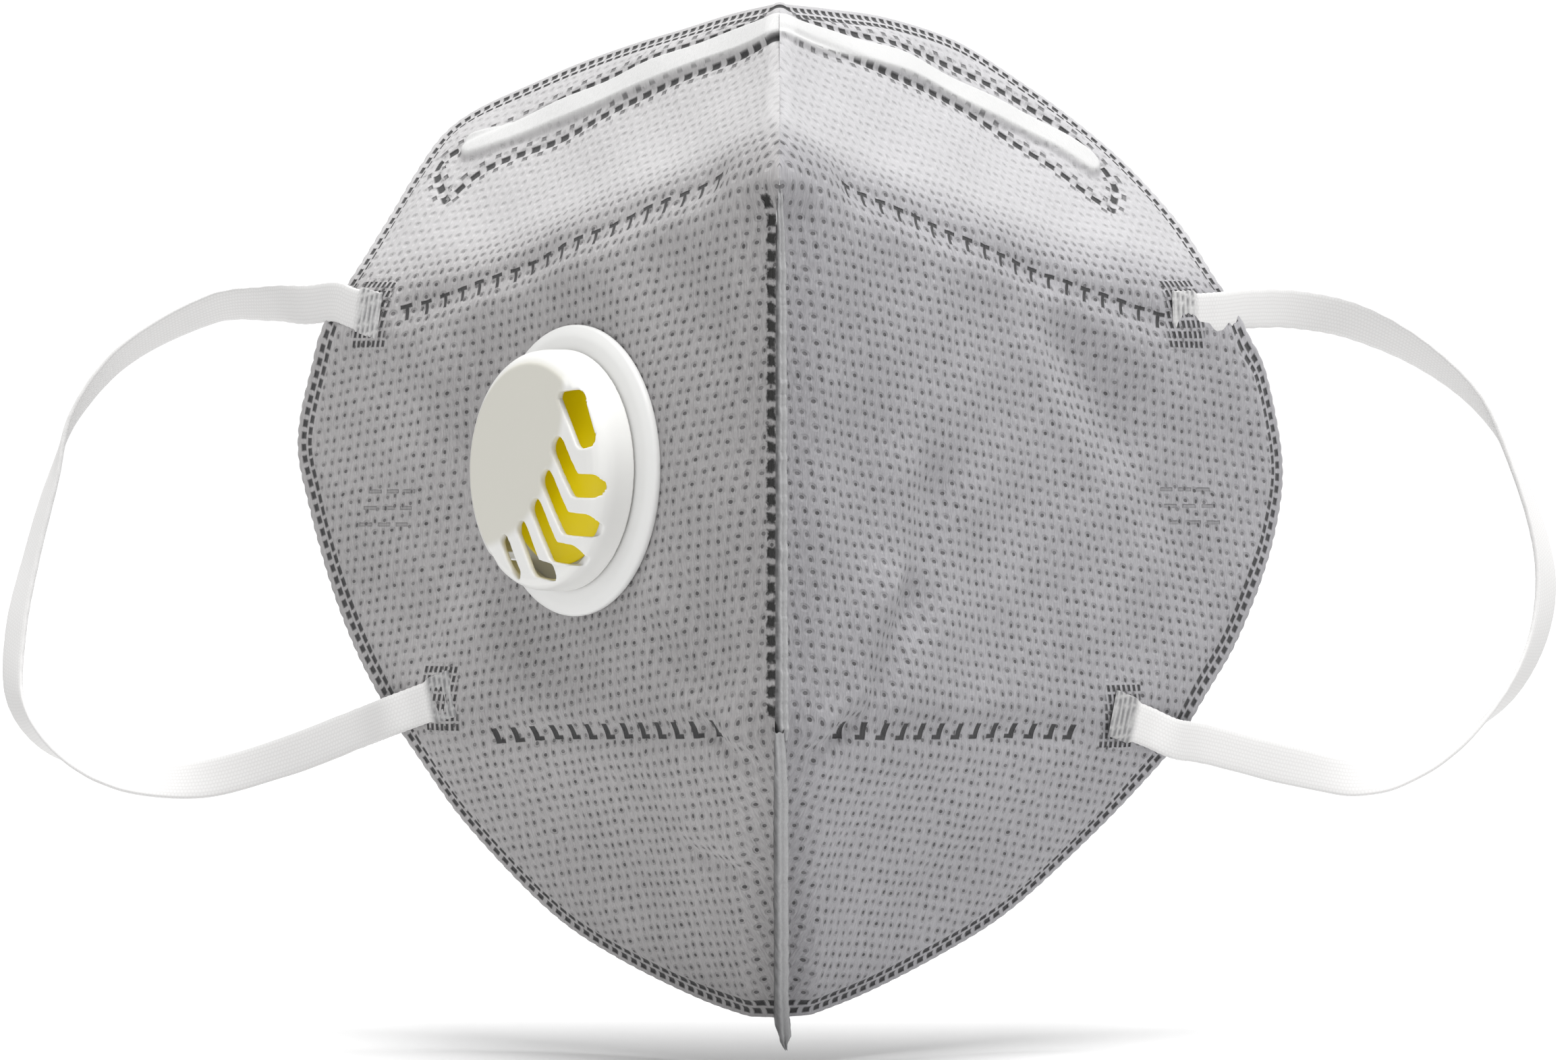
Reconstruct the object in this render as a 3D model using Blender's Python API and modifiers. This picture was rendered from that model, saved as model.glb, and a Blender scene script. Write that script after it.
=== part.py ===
"""Fold-flat dust mask with an exhalation valve, opened as it is worn.

The origin is the centre of the face opening, +Z is up and the centre seam is to the front, at -Y.
Each half is one flat pattern, bent along a nose crease and a chin crease. The pattern is drawn with
u back from the seam and v up from the seam's tip. A half is built from three flat facets, each with
a liner, a filter layer and an outer cover, and it folds about the seam and its two creases.
"""
import math

import bmesh
import bpy
from mathutils import Matrix, Vector

MM = 0.001

# Fold angles of the opened mask, in degrees. Those at the seam are from its straight middle stretch.
HALF_ANGLE = 44.0
NOSE_CREASE_ANGLE = 80.0
RIDGE_ANGLE = 129.6
CHIN_SEAM_ANGLE = 147.4

# Lengths, in millimetres.
TIP = Vector((0, -52, 44.3))
SEAM_LENGTH = 73.5
RIDGE_LENGTH = 43.5
CHIN_SEAM_LENGTH = 51.9
RIM_NOSE = [(45, 35.5), (62, 32.5), (77, 27), (90, 19), (97, 8), (99.5, -5)]
RIM_CHEEK = [(100.8, -17.8), (103.8, -32), (102.5, -44), (97.4, -55), (91, -64.5), (83.5, -73.5)]
RIM_CHIN = [(72.5, -90), (60, -103), (48, -110.3), (34, -116.8)]
RIM_STEPS = 4

# The laminate, in millimetres out from the inner face, which stands off the plane that the hinges
# lie in, so that the halves clear each other while they fold. The nose strip lies under its cover.
STAND_OFF = 1.5
LINER = (0.0, 0.4)
FILTER = (0.7, 1.5)
COVER = (1.8, 2.3)
NOSE_STRIP = (1.8, 2.5)
NOSE_COVER = (2.8, 3.3)
FOAM = (-2.3, -0.3)
CREASE_GAP = 0.4
RIDGE_CLEARANCE = 1.2
CHIN_CLEARANCE = 1.5

NOSE_STRIP_PATH = [(27, 28.0), (44, 26.0), (60, 22.2), (72, 18.0), (82.5, 13.5)]
NOSE_STRIP_WIDTH = 3.0
FOAM_PATH = [(33, 27.2), (45, 27.5), (58, 24.2), (69, 18.5), (78, 11.5)]
FOAM_WIDTH = 9.0

FLANGE_THICKNESS = 1.0
FLANGE_DEPTH = 3.2
TAIL_LENGTH = 3.5

# The valve, in millimetres. Heights are out from the laminate's inner face.
VALVE_CENTRE = (38.3, -38.5)
VALVE_HOLE_RADIUS = 14.2
FLANGE_RADIUS = 20.35
COLLAR_RADIUS = 13.6
BORE_RADIUS = 12.2
LOCK_RING_RADIUS = 18.5
COVER_RADIUS = 16.75
COVER_TOP = 11.3
COVER_BASE = 4.5
COVER_WALL = 1.2
LOUVRE_ANGLE = -48.0
LOUVRE_PITCH = 4.6
SLOT_WIDTH = 2.7
SLOT_COUNT = 6
PLATE_ARC_RADIUS = 15.5
PLATE_ARC_CENTRE = (-9.0, 9.5)
DIAPHRAGM_RADIUS = 13.2
DIAPHRAGM = (5.3, 5.8)
ROUND_STEPS = 48

# Ear loops: routes through the middle of each flat strap, in millimetres from the origin.
LOOP_DIAMETER = 2.6
LOOP_LEFT = [
    (-68.6, 24.2, 30.5), (-76.0, 31.0, 31.9), (-86.0, 37.0, 31.2), (-99.0, 40.5, 24.6),
    (-106.8, 41.0, 15.4), (-110.0, 40.0, 5.6), (-113.0, 38.5, -6.0), (-115.0, 36.0, -17.0),
    (-114.6, 33.0, -27.4), (-109.0, 29.5, -34.6), (-99.0, 25.5, -38.6), (-86.0, 20.5, -38.9),
    (-73.0, 15.6, -35.4), (-61.0, 11.0, -29.6),
]
LOOP_RIGHT = [
    (68.6, 24.2, 30.6), (77.0, 31.0, 31.0), (86.5, 36.0, 29.4), (96.5, 39.5, 24.8),
    (105.0, 41.0, 18.0), (110.6, 41.0, 9.0), (114.6, 40.0, -2.0), (115.6, 38.5, -11.0),
    (113.4, 36.0, -20.0), (108.0, 32.5, -28.0), (98.5, 28.0, -35.0), (87.0, 22.5, -38.2),
    (75.0, 16.4, -35.8), (61.0, 11.0, -29.6),
]
LOOP_STEPS = 2

COLOURS = {
    "cover": ((0.42, 0.42, 0.43), 0.9),
    "filter": ((0.85, 0.85, 0.84), 0.9),
    "liner": ((0.82, 0.82, 0.82), 0.9),
    "weld": ((0.30, 0.30, 0.31), 0.7),
    "strip": ((0.86, 0.86, 0.86), 0.5),
    "foam": ((0.75, 0.75, 0.76), 1.0),
    "valve": ((0.86, 0.86, 0.85), 0.45),
    "flap": ((0.66, 0.49, 0.02), 0.4),
    "elastic": ((0.82, 0.81, 0.79), 0.85),
}


def clear_scene():
    for obj in list(bpy.data.objects):
        bpy.data.objects.remove(obj)


def collection(name):
    made = bpy.data.collections.new(name)
    bpy.context.scene.collection.children.link(made)
    return made


def material(name):
    colour, roughness = COLOURS[name]
    made = bpy.data.materials.new(name)
    made.use_nodes = True
    shader = made.node_tree.nodes["Principled BSDF"]
    shader.inputs["Base Color"].default_value = (*colour, 1)
    shader.inputs["Roughness"].default_value = roughness
    shader.inputs["Metallic"].default_value = 0.0
    return made


def direction(angle):
    """A pattern direction at this angle, in radians, from the seam's downward direction."""
    return Vector((math.sin(angle), -math.cos(angle)))


def fold_angles():
    """The pattern angles of the ridge and chin seam, and how far each crease is bent, in radians."""
    half = math.radians(HALF_ANGLE)
    crease = math.radians(NOSE_CREASE_ANGLE)
    ridge = math.radians(RIDGE_ANGLE)
    chin = math.radians(CHIN_SEAM_ANGLE)
    nose = math.acos(
        math.sin(crease) * math.cos(half) * math.sin(ridge) + math.cos(crease) * math.cos(ridge)
    )
    inner = (math.cos(ridge) - math.cos(nose) * math.cos(crease)) / (math.sin(nose) * math.sin(crease))
    below = math.acos(math.cos(half) * math.sin(chin))
    return {
        "ridge": crease + nose,
        "nose_bend": math.pi - math.acos(inner),
        "chin_seam": math.pi / 2 - below,
        "chin_bend": math.pi - math.acos(math.cos(chin) / math.sin(below)),
    }


def smooth(points, steps):
    """Points along a Catmull-Rom curve through the given ones."""
    ends = [2 * points[0] - points[1], *points, 2 * points[-1] - points[-2]]
    found = []
    for a, b, c, d in zip(ends, ends[1:], ends[2:], ends[3:]):
        for i in range(steps):
            t = i / steps
            found.append(
                0.5 * (2 * b + (c - a) * t + (2 * a - 5 * b + 4 * c - d) * t**2
                       + (3 * b - a - 3 * c + d) * t**3)
            )
    return [*found, points[-1]]


def clip(outline, point, inward):
    """The part of a closed outline on the inward side of a line through point."""
    kept = []
    for a, b in zip(outline, outline[1:] + outline[:1]):
        height_a = (a - point).dot(inward)
        height_b = (b - point).dot(inward)
        if height_a >= 0:
            kept.append(a)
        if (height_a >= 0) != (height_b >= 0):
            kept.append(a.lerp(b, height_a / (height_a - height_b)))
    return kept


def half_outline(angles):
    """The whole flat pattern of one half: the seam, the ridge, the rim and the chin seam."""
    kink = Vector((0, -SEAM_LENGTH))
    ridge_end = direction(angles["ridge"]) * RIDGE_LENGTH
    chin_end = kink + direction(angles["chin_seam"]) * CHIN_SEAM_LENGTH
    rim = [ridge_end, *map(Vector, RIM_NOSE + RIM_CHEEK + RIM_CHIN), chin_end]
    return [Vector((0, 0)), *smooth(rim, RIM_STEPS), kink]


def facet_outlines(angles):
    """The nose, cheek and chin facets, set back from their creases and from the opened seams."""
    whole = half_outline(angles)
    tip = Vector((0, 0))
    kink = Vector((0, -SEAM_LENGTH))
    crease = direction(math.radians(NOSE_CREASE_ANGLE))
    above = Vector((-crease.y, crease.x))
    down = Vector((0, -1))
    ridge = direction(angles["ridge"] - math.radians(RIDGE_CLEARANCE))
    chin_seam = direction(angles["chin_seam"] + math.radians(CHIN_CLEARANCE))
    below_ridge = Vector((ridge.y, -ridge.x))
    above_chin = Vector((-chin_seam.y, chin_seam.x))
    nose = clip(whole, tip + above * CREASE_GAP, above)
    nose = clip(nose, tip + below_ridge * CREASE_GAP, below_ridge)
    cheek = clip(whole, tip - above * CREASE_GAP, -above)
    cheek = clip(cheek, kink - down * CREASE_GAP, -down)
    cheek = clip(cheek, Vector((CREASE_GAP, 0)), Vector((1, 0)))
    chin = clip(whole, kink + down * CREASE_GAP, down)
    chin = clip(chin, kink + above_chin * CREASE_GAP, above_chin)
    return {"nose": nose, "cheek": cheek, "chin": [p - kink for p in chin]}


def strip_outline(path, width, steps):
    """A closed outline with square ends, of this width along a smooth path."""
    line = smooth([Vector(p) for p in path], steps)
    left, right = [], []
    for i, point in enumerate(line):
        along = (line[min(i + 1, len(line) - 1)] - line[max(i - 1, 0)]).normalized()
        across = Vector((-along.y, along.x)) * width / 2
        left.append(point + across)
        right.append(point - across)
    return left + right[::-1]


def circle(centre, radius, steps):
    turns = [2 * math.pi * i / steps for i in range(steps)]
    return [Vector(centre) + radius * Vector((math.cos(turn), math.sin(turn))) for turn in turns]


class Mask:
    """The collections and materials, and the objects that the builders below add to them."""

    def __init__(self):
        self.parts = collection("dust_mask")
        self.cutters = collection("cutters")
        self.materials = {name: material(name) for name in COLOURS}

    def empty(self, name, matrix, parent=None):
        made = bpy.data.objects.new(name, None)
        made.empty_display_size = 10 * MM
        self.parts.objects.link(made)
        if parent is not None:
            made.parent = parent
        made.matrix_local = matrix
        return made

    def add(self, name, data, look, parent, location=(0, 0, 0)):
        made = bpy.data.objects.new(name, data)
        data.materials.append(self.materials[look])
        self.parts.objects.link(made)
        made.parent = parent
        made.location = Vector(location) * MM
        return made

    def plate(self, name, outlines, span, side, look, parent, rise=0.0):
        """A flat piece with these outlines, the first its edge and the others holes."""
        data = bpy.data.curves.new(name, "CURVE")
        data.dimensions = "2D"
        data.fill_mode = "BOTH"
        data.extrude = (span[1] - span[0]) / 2 * MM
        for outline in outlines:
            spline = data.splines.new("POLY")
            spline.points.add(len(outline) - 1)
            for point, place in zip(spline.points, outline):
                point.co = (place.x * MM, place.y * MM, 0, 1)
            spline.use_cyclic_u = True
        return self.add(name, data, look, parent, (0, 0, side * (rise + sum(span) / 2)))

    def turned(self, name, profile, look, parent):
        """A profile of (radius, height) points turned about the local Z axis."""
        closed = profile[0][0] > 0
        shape = bmesh.new()
        points = [shape.verts.new((r * MM, 0, z * MM)) for r, z in profile]
        for a, b in zip(points, points[1:] + points[:1] if closed else points[1:]):
            shape.edges.new((a, b))
        data = bpy.data.meshes.new(name)
        shape.to_mesh(data)
        shape.free()
        made = self.add(name, data, look, parent)
        screw = made.modifiers.new("turn", "SCREW")
        screw.steps = ROUND_STEPS
        screw.render_steps = ROUND_STEPS
        screw.use_merge_vertices = True
        screw.merge_threshold = 0.00001
        screw.use_normal_calculate = not closed
        return made

    def blocks(self, name, boxes, parent, angle=0.0):
        """A helper of boxes, each ((x, y, z) centre, (x, y, z) size), turned about the parent's Z."""
        shape = bmesh.new()
        for centre, size in boxes:
            place = Matrix.Translation(Vector(centre) * MM) @ Matrix.Diagonal((*(Vector(size) * MM), 1))
            bmesh.ops.create_cube(shape, size=1, matrix=place)
        data = bpy.data.meshes.new(name)
        shape.to_mesh(data)
        shape.free()
        made = bpy.data.objects.new(name, data)
        self.cutters.objects.link(made)
        made.parent = parent
        made.rotation_euler.z = math.radians(angle)
        made.hide_render = True
        made.display_type = "WIRE"
        return made


def combine(target, tool, operation):
    made = target.modifiers.new(operation.lower(), "BOOLEAN")
    made.operation = operation
    made.object = tool
    made.solver = "EXACT"


def pattern_frame(side):
    """Where one half's pattern lies: u back and out, v up, and a third axis of side times outward."""
    half = math.radians(HALF_ANGLE)
    back = Vector((side * math.sin(half), math.cos(half), 0))
    up = Vector((0, 0, 1))
    across = back.cross(up)
    frame = Matrix((back, up, across)).transposed().to_4x4()
    frame.translation = TIP * MM
    return frame


def body_frames(mask, side, word, angles):
    """The empties that each facet of one half turns with, their origins on the hinge lines."""
    crease = direction(math.radians(NOSE_CREASE_ANGLE)).to_3d()
    cheek = mask.empty(f"cheek_{word}_hinge", pattern_frame(side))
    nose_turn = Matrix.Rotation(-side * angles["nose_bend"], 4, crease)
    nose = mask.empty(f"nose_{word}_hinge", nose_turn, cheek)
    chin_turn = Matrix.Rotation(side * angles["chin_bend"], 4, "X")
    chin_place = Matrix.Translation((0, -SEAM_LENGTH * MM, 0))
    chin = mask.empty(f"chin_{word}_hinge", chin_place @ chin_turn, cheek)
    return {"nose": nose, "cheek": cheek, "chin": chin}


def build_half(mask, side, word, angles, has_valve):
    frames = body_frames(mask, side, word, angles)
    for facet, outline in facet_outlines(angles).items():
        outlines = [outline]
        if has_valve and facet == "cheek":
            outlines.append(circle(VALVE_CENTRE, VALVE_HOLE_RADIUS, ROUND_STEPS))
        cover = NOSE_COVER if facet == "nose" else COVER
        frame = frames[facet]
        mask.plate(f"liner_{facet}_{word}", outlines, LINER, side, "liner", frame, STAND_OFF)
        mask.plate(f"filter_{facet}_{word}", outlines, FILTER, side, "filter", frame, STAND_OFF)
        mask.plate(f"outer_{facet}_{word}", outlines, cover, side, "cover", frame, STAND_OFF)
    nose = frames["nose"]
    strip = strip_outline(NOSE_STRIP_PATH, NOSE_STRIP_WIDTH, 3)
    mask.plate(f"nose_strip_{word}", [strip], NOSE_STRIP, side, "strip", nose, STAND_OFF)
    pad = strip_outline(FOAM_PATH, FOAM_WIDTH, 3)
    mask.plate(f"nose_foam_{word}", [pad], FOAM, side, "foam", nose, STAND_OFF)
    return frames


def build_seams(mask):
    """The welded flanges: a straight one, and one that runs down and back under the chin to a tail."""
    spine = mask.empty("seam_hinge", Matrix.Translation(TIP * MM))
    turn = Matrix.Rotation(math.radians(180 - CHIN_SEAM_ANGLE), 4, "X")
    kink = mask.empty("chin_seam_hinge", Matrix.Translation((0, 0, -SEAM_LENGTH * MM)) @ turn, spine)
    upright = Matrix.Rotation(math.pi / 2, 4, "Y") @ Matrix.Rotation(math.pi / 2, 4, "Z")
    far = -FLANGE_DEPTH
    straight = [(0, -0.5), (0, 0.5 - SEAM_LENGTH), (far, 0.5 - SEAM_LENGTH), (far, -1.5)]
    end = -CHIN_SEAM_LENGTH - TAIL_LENGTH
    tail = [(0, -1.8), (0, end), (-0.8, end), (far, 4 - CHIN_SEAM_LENGTH), (far, -0.2)]
    span = (-FLANGE_THICKNESS / 2, FLANGE_THICKNESS / 2)
    for name, outline, parent in (("centre_seam", straight, spine), ("chin_seam", tail, kink)):
        made = mask.plate(name, [[Vector(p) for p in outline]], span, 1, "weld", parent)
        made.rotation_euler = upright.to_euler()


def valve_body(mask, frame):
    profile = [
        (COLLAR_RADIUS, 2.6), (COLLAR_RADIUS, -1.9), (BORE_RADIUS, -1.9), (BORE_RADIUS, 5.0),
        (13.4, 5.0), (13.4, 4.1), (19.8, 4.1), (FLANGE_RADIUS, 3.6), (FLANGE_RADIUS, 2.6),
    ]
    made = mask.turned("valve_body", profile[::-1], "valve", frame)
    length = 2 * BORE_RADIUS + 1
    spokes = mask.blocks("seat_spokes", [((0, 0, 3.8), (length, 1.4, 1.2))], frame, LOUVRE_ANGLE)
    cross = mask.blocks("seat_cross", [((0, 0, 3.8), (1.4, length, 1.2))], frame, LOUVRE_ANGLE)
    combine(made, spokes, "UNION")
    combine(made, cross, "UNION")


def slot_boxes():
    """One cutter for each slot: from the face plate's arc out past the rim, down to the base band."""
    angle = math.radians(LOUVRE_ANGLE)
    centre = Matrix.Rotation(-angle, 2) @ Vector(PLATE_ARC_CENTRE)
    low = COVER_BASE + 1.4
    top = COVER_TOP + 2
    boxes = []
    for i in range(SLOT_COUNT):
        across = (i - (SLOT_COUNT - 1) / 2) * LOUVRE_PITCH
        reach = max(PLATE_ARC_RADIUS**2 - (across - centre.y) ** 2, 0)
        start = max(centre.x + math.sqrt(reach), -6.0)
        end = COVER_RADIUS + 2
        place = ((start + end) / 2, across, (low + top) / 2)
        boxes.append((place, (end - start, SLOT_WIDTH, top - low)))
    return boxes


def valve_cover(mask, frame):
    inner = COVER_RADIUS - COVER_WALL
    ceiling = COVER_TOP - COVER_WALL
    profile = [
        (0, COVER_TOP), (14.9, COVER_TOP), (16.2, 10.8), (COVER_RADIUS, 9.6), (COVER_RADIUS, COVER_BASE),
        (inner, COVER_BASE), (inner, 9.3), (14.6, ceiling), (0, ceiling),
    ]
    made = mask.turned("valve_cover", profile, "valve", frame)
    slots = mask.blocks("louvre_slots", slot_boxes(), frame, LOUVRE_ANGLE)
    combine(made, slots, "DIFFERENCE")


def build_valve(mask, cheek):
    """The valve's own frame looks outward, with x towards the seam and y up."""
    turn = Matrix.Rotation(math.pi, 4, "Y")
    centre = Vector((*VALVE_CENTRE, -STAND_OFF)) * MM
    frame = mask.empty("valve_frame", Matrix.Translation(centre) @ turn, cheek)
    valve_body(mask, frame)
    valve_cover(mask, frame)
    ring = [
        (LOCK_RING_RADIUS, -0.3), (LOCK_RING_RADIUS, -1.2), (LOCK_RING_RADIUS - 0.6, -1.8),
        (COLLAR_RADIUS + 0.3, -1.8), (COLLAR_RADIUS + 0.3, -0.3),
    ]
    mask.turned("valve_lock_ring", ring, "valve", frame)
    angle = math.radians(LOUVRE_ANGLE)
    edge = Vector((-math.cos(angle), -math.sin(angle), 0)) * (DIAPHRAGM_RADIUS - 0.4)
    place = (edge + Vector((0, 0, DIAPHRAGM[0]))) * MM
    hinge = mask.empty("diaphragm_hinge", Matrix.Translation(place), frame)
    disc = circle(-edge.to_2d(), DIAPHRAGM_RADIUS, ROUND_STEPS)
    span = (0, DIAPHRAGM[1] - DIAPHRAGM[0])
    mask.plate("valve_diaphragm", [disc], span, 1, "flap", hinge)


def ear_loop(mask, word, route):
    data = bpy.data.curves.new(f"ear_loop_{word}", "CURVE")
    data.dimensions = "3D"
    data.bevel_depth = LOOP_DIAMETER / 2 * MM
    data.bevel_resolution = 2
    data.use_fill_caps = True
    line = smooth([Vector(p) for p in route], LOOP_STEPS)
    spline = data.splines.new("POLY")
    spline.points.add(len(line) - 1)
    for point, place in zip(spline.points, line):
        point.co = (*(place * MM), 1)
    anchor = (Vector(route[0]) + Vector(route[-1])) / 2
    hinge = mask.empty(f"ear_loop_{word}_hinge", Matrix.Translation(anchor * MM))
    mask.add(f"ear_loop_{word}", data, "elastic", hinge, -anchor)


def main():
    clear_scene()
    mask = Mask()
    angles = fold_angles()
    left = build_half(mask, -1, "left", angles, True)
    build_half(mask, 1, "right", angles, False)
    build_seams(mask)
    build_valve(mask, left["cheek"])
    ear_loop(mask, "left", LOOP_LEFT)
    ear_loop(mask, "right", LOOP_RIGHT)


main()
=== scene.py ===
import math

import bmesh
import bpy
import numpy as np
from mathutils import Matrix, Vector


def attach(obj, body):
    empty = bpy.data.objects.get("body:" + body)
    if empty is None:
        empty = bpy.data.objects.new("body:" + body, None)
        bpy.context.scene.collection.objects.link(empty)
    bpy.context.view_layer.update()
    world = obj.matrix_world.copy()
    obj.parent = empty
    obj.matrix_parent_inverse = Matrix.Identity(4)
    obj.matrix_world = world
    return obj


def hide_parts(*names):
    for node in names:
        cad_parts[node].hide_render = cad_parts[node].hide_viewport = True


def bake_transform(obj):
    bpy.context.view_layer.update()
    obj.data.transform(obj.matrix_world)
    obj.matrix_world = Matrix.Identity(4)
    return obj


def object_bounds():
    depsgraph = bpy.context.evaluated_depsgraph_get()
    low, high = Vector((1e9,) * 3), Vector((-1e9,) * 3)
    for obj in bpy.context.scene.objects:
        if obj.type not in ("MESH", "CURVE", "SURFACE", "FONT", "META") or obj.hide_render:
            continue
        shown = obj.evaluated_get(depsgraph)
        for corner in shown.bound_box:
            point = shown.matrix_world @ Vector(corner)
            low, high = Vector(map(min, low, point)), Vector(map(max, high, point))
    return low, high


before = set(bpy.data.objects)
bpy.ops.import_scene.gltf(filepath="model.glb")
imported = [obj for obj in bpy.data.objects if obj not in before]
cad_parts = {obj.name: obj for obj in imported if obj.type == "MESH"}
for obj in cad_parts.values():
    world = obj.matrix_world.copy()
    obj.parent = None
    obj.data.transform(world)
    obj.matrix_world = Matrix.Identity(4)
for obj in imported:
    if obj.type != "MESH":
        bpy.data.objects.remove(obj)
cad_low, cad_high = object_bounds()

# Pattern places are (back from the seam, up from the tip) on one half laid flat, in mm.
# Everything is worked out for the left half, which has the valve, and mirrored for the right.
MM = 0.001
SIDES = ("left", "right")
HALF_ANGLE = math.radians(44)
CREASE_ANGLE = math.radians(80)
NOSE_BEND = math.radians(36.476)
CHIN_BEND = math.radians(23.953)
NOSE_SOFT = 5.0
CHIN_SOFT = 6.0
TIP = np.array([0.0, -52.0, 44.3])
SEAM_LENGTH = 73.5
RIDGE_DIRECTION = (0.585, 0.811)
RIDGE_LENGTH = 41.6
CHIN_DIRECTION = (0.3875, -0.9219)
CHIN_LENGTH = 48.3

# The half's frame: back along the panel, up, and out of the panel.
BACK = np.array([-math.sin(HALF_ANGLE), math.cos(HALF_ANGLE), 0.0])
UP = np.array([0.0, 0.0, 1.0])
OUT = np.array([-math.cos(HALF_ANGLE), -math.sin(HALF_ANGLE), 0.0])
CREASE = np.array([math.sin(CREASE_ANGLE), -math.cos(CREASE_ANGLE)])
ACROSS = np.array([math.cos(CREASE_ANGLE), math.sin(CREASE_ANGLE)])
ACROSS_3D = ACROSS[0] * BACK + ACROSS[1] * UP

FLARE = math.radians(4.5)
FLARE_REACH = 98.0

RIM = {
    "left": [
        (35, 33.9), (46, 33.0), (57, 31.9), (68, 29.7), (77, 26.6), (86.5, 22.4), (91.2, 17.6), (92.3, 10),
        (92.3, 1.8), (92.9, -12.2), (95.2, -20.4), (98.6, -32.6), (96.6, -41.6), (92.2, -53.7),
        (86.8, -64.1), (78.8, -75.5), (71.9, -89.6), (60.5, -103.2), (48.9, -110.2), (33.0, -115.6),
    ],
    "right": [
        (36, 35.0), (50.6, 35.8), (65.6, 33.4), (76.6, 26.2), (83.8, 19.5), (89.6, 11.3), (93.5, 0.2),
        (94.2, -10.6), (95.9, -17.6), (99.8, -23.5), (103.4, -36.4), (101.6, -46.7), (97.2, -56.0),
        (92.6, -63.9), (86.1, -72.0), (81.2, -80.3), (72.5, -91.4), (60.3, -103.2), (48.4, -109.6),
        (33.8, -114.8),
    ],
}

# Heights above the plane that the halves fold on.
MIDDLE = 2.65
FULL_THICKNESS = 2.3
HEM_THICKNESS = 0.9
HEM_WIDTH = 3.6
FLANGE_HALF = 0.5
HEM_PITCH = 1.9
SEAM_PITCH = 2.35

MARK_LINE = {"left": ((11.7, 0.4), (77.0, -14.9)), "right": ((13.1, -0.4), (77.3, -16.0))}
BAR_LINE = {"left": ((11.3, -73.0), (58.4, -75.5)), "right": ((10.8, -73.2), (60.4, -75.1))}
MARK_COUNT = 19
BAR_COUNT = 13
STRIP_LINE = {
    "left": [(18.4, 28.2), (33.2, 25.7), (49.1, 22.3), (64.6, 18.6), (79.8, 13.8)],
    "right": [(18.4, 27.4), (28.0, 26.6), (46.0, 25.1), (61.7, 20.7), (73.0, 15.8), (78.8, 11.2)],
}
STRIP_HALF = 2.2
POCKET_PITCH = 2.9
# The cover's embossed pits: steps along and between rows, each row's shift in steps, and their slope.
PIT_PITCH = 1.78
PIT_ROW = 1.62
PIT_SHIFT = 1.27
PIT_TILT = math.radians(8)
# The dashes of a strap's weld patch, along and up, and the stitches of the strap.
DASH_PITCH = (1.05, 1.3)
STITCH = 0.55
PLAIN_MARK = {"left": (79.5, -43.1), "right": (84.0, -42.8)}
# The two dotted welds that close the strip's pocket, below and above it.
POCKET = {
    "left": [
        [(15.5, 26.2), (31.2, 22.6), (42.4, 20.2), (57.8, 15.1), (74.5, 9.6), (79.7, 3.6)],
        [(20.5, 31.0), (35.9, 28.7), (51.9, 25.6), (61.9, 22.9), (72.2, 18.7), (82.5, 13.3), (85.6, 9.6),
         (79.7, 3.6)],
    ],
    "right": [
        [(15.5, 26.4), (22.6, 25.6), (38.8, 23.0), (55.7, 19.2), (68.0, 11.7), (78.3, 2.0)],
        [(20.5, 30.6), (32.0, 30.2), (51.8, 29.0), (67.8, 24.3), (78.2, 16.9), (82.4, 7.6), (78.3, 2.0)],
    ],
}
# Each fold in the fabric: from, to, half width, and how far it sinks, or stands up, in mm.
CREASES = {
    "left": [
        ((13.5, -72.6), (0.5, -79.2), 1.6, -1.1), ((14.5, -69.8), (1.0, -76.0), 2.2, 0.6),
        ((23.8, -90.9), (4.0, -96.5), 1.6, -0.8), ((22.8, -86.8), (5.0, -92.0), 2.6, 0.5),
        ((18.0, -52.0), (6.0, -66.0), 3.0, -0.6), ((24.0, -58.0), (10.0, -71.0), 2.6, -0.5),
        ((27.0, -50.0), (14.0, -63.0), 3.2, 0.5), ((70.0, -20.0), (60.0, -34.0), 5.0, 0.5),
        ((64.0, -52.0), (74.0, -62.0), 4.0, -0.5),
    ],
    "right": [
        ((14.2, -71.4), (0.0, -78.0), 1.6, -1.1), ((15.0, -68.4), (1.0, -74.8), 2.2, 0.7),
        ((30.0, -38.0), (24.0, -60.0), 3.8, -1.2), ((25.5, -54.0), (15.0, -72.0), 3.0, -1.2),
        ((22.0, -36.0), (18.0, -58.0), 4.2, 0.8), ((19.5, -52.0), (10.0, -69.0), 3.2, 0.8),
        ((37.0, -40.0), (31.0, -62.0), 4.0, 0.5), ((57.0, -17.0), (72.0, -35.0), 4.4, -1.3),
        ((50.0, -20.0), (62.0, -38.0), 4.0, 0.8), ((66.0, -15.0), (82.0, -29.0), 4.2, 0.7),
        ((72.0, -35.0), (84.0, -52.0), 4.6, -0.6), ((44.0, -84.0), (30.0, -100.0), 5.0, 0.5),
        ((24.0, -80.0), (14.0, -100.0), 3.6, -0.5),
    ],
}

VALVE_PLACE = (38.9, -38.0)
VALVE_LEAN = math.radians(5)
FOAM_LINE = [(33, 25.6), (45, 25.6), (58, 21.8), (69, 15.6), (77, 7.6)]
CAMERA_PLACE = (0.0006, -0.802, -0.002)
CAMERA_LENS = 127.8


# ---------------------------------------------------------------- curves and folds


def smoothstep(x):
    x = np.clip(x, 0.0, 1.0)
    return x * x * (3 - 2 * x)


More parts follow.
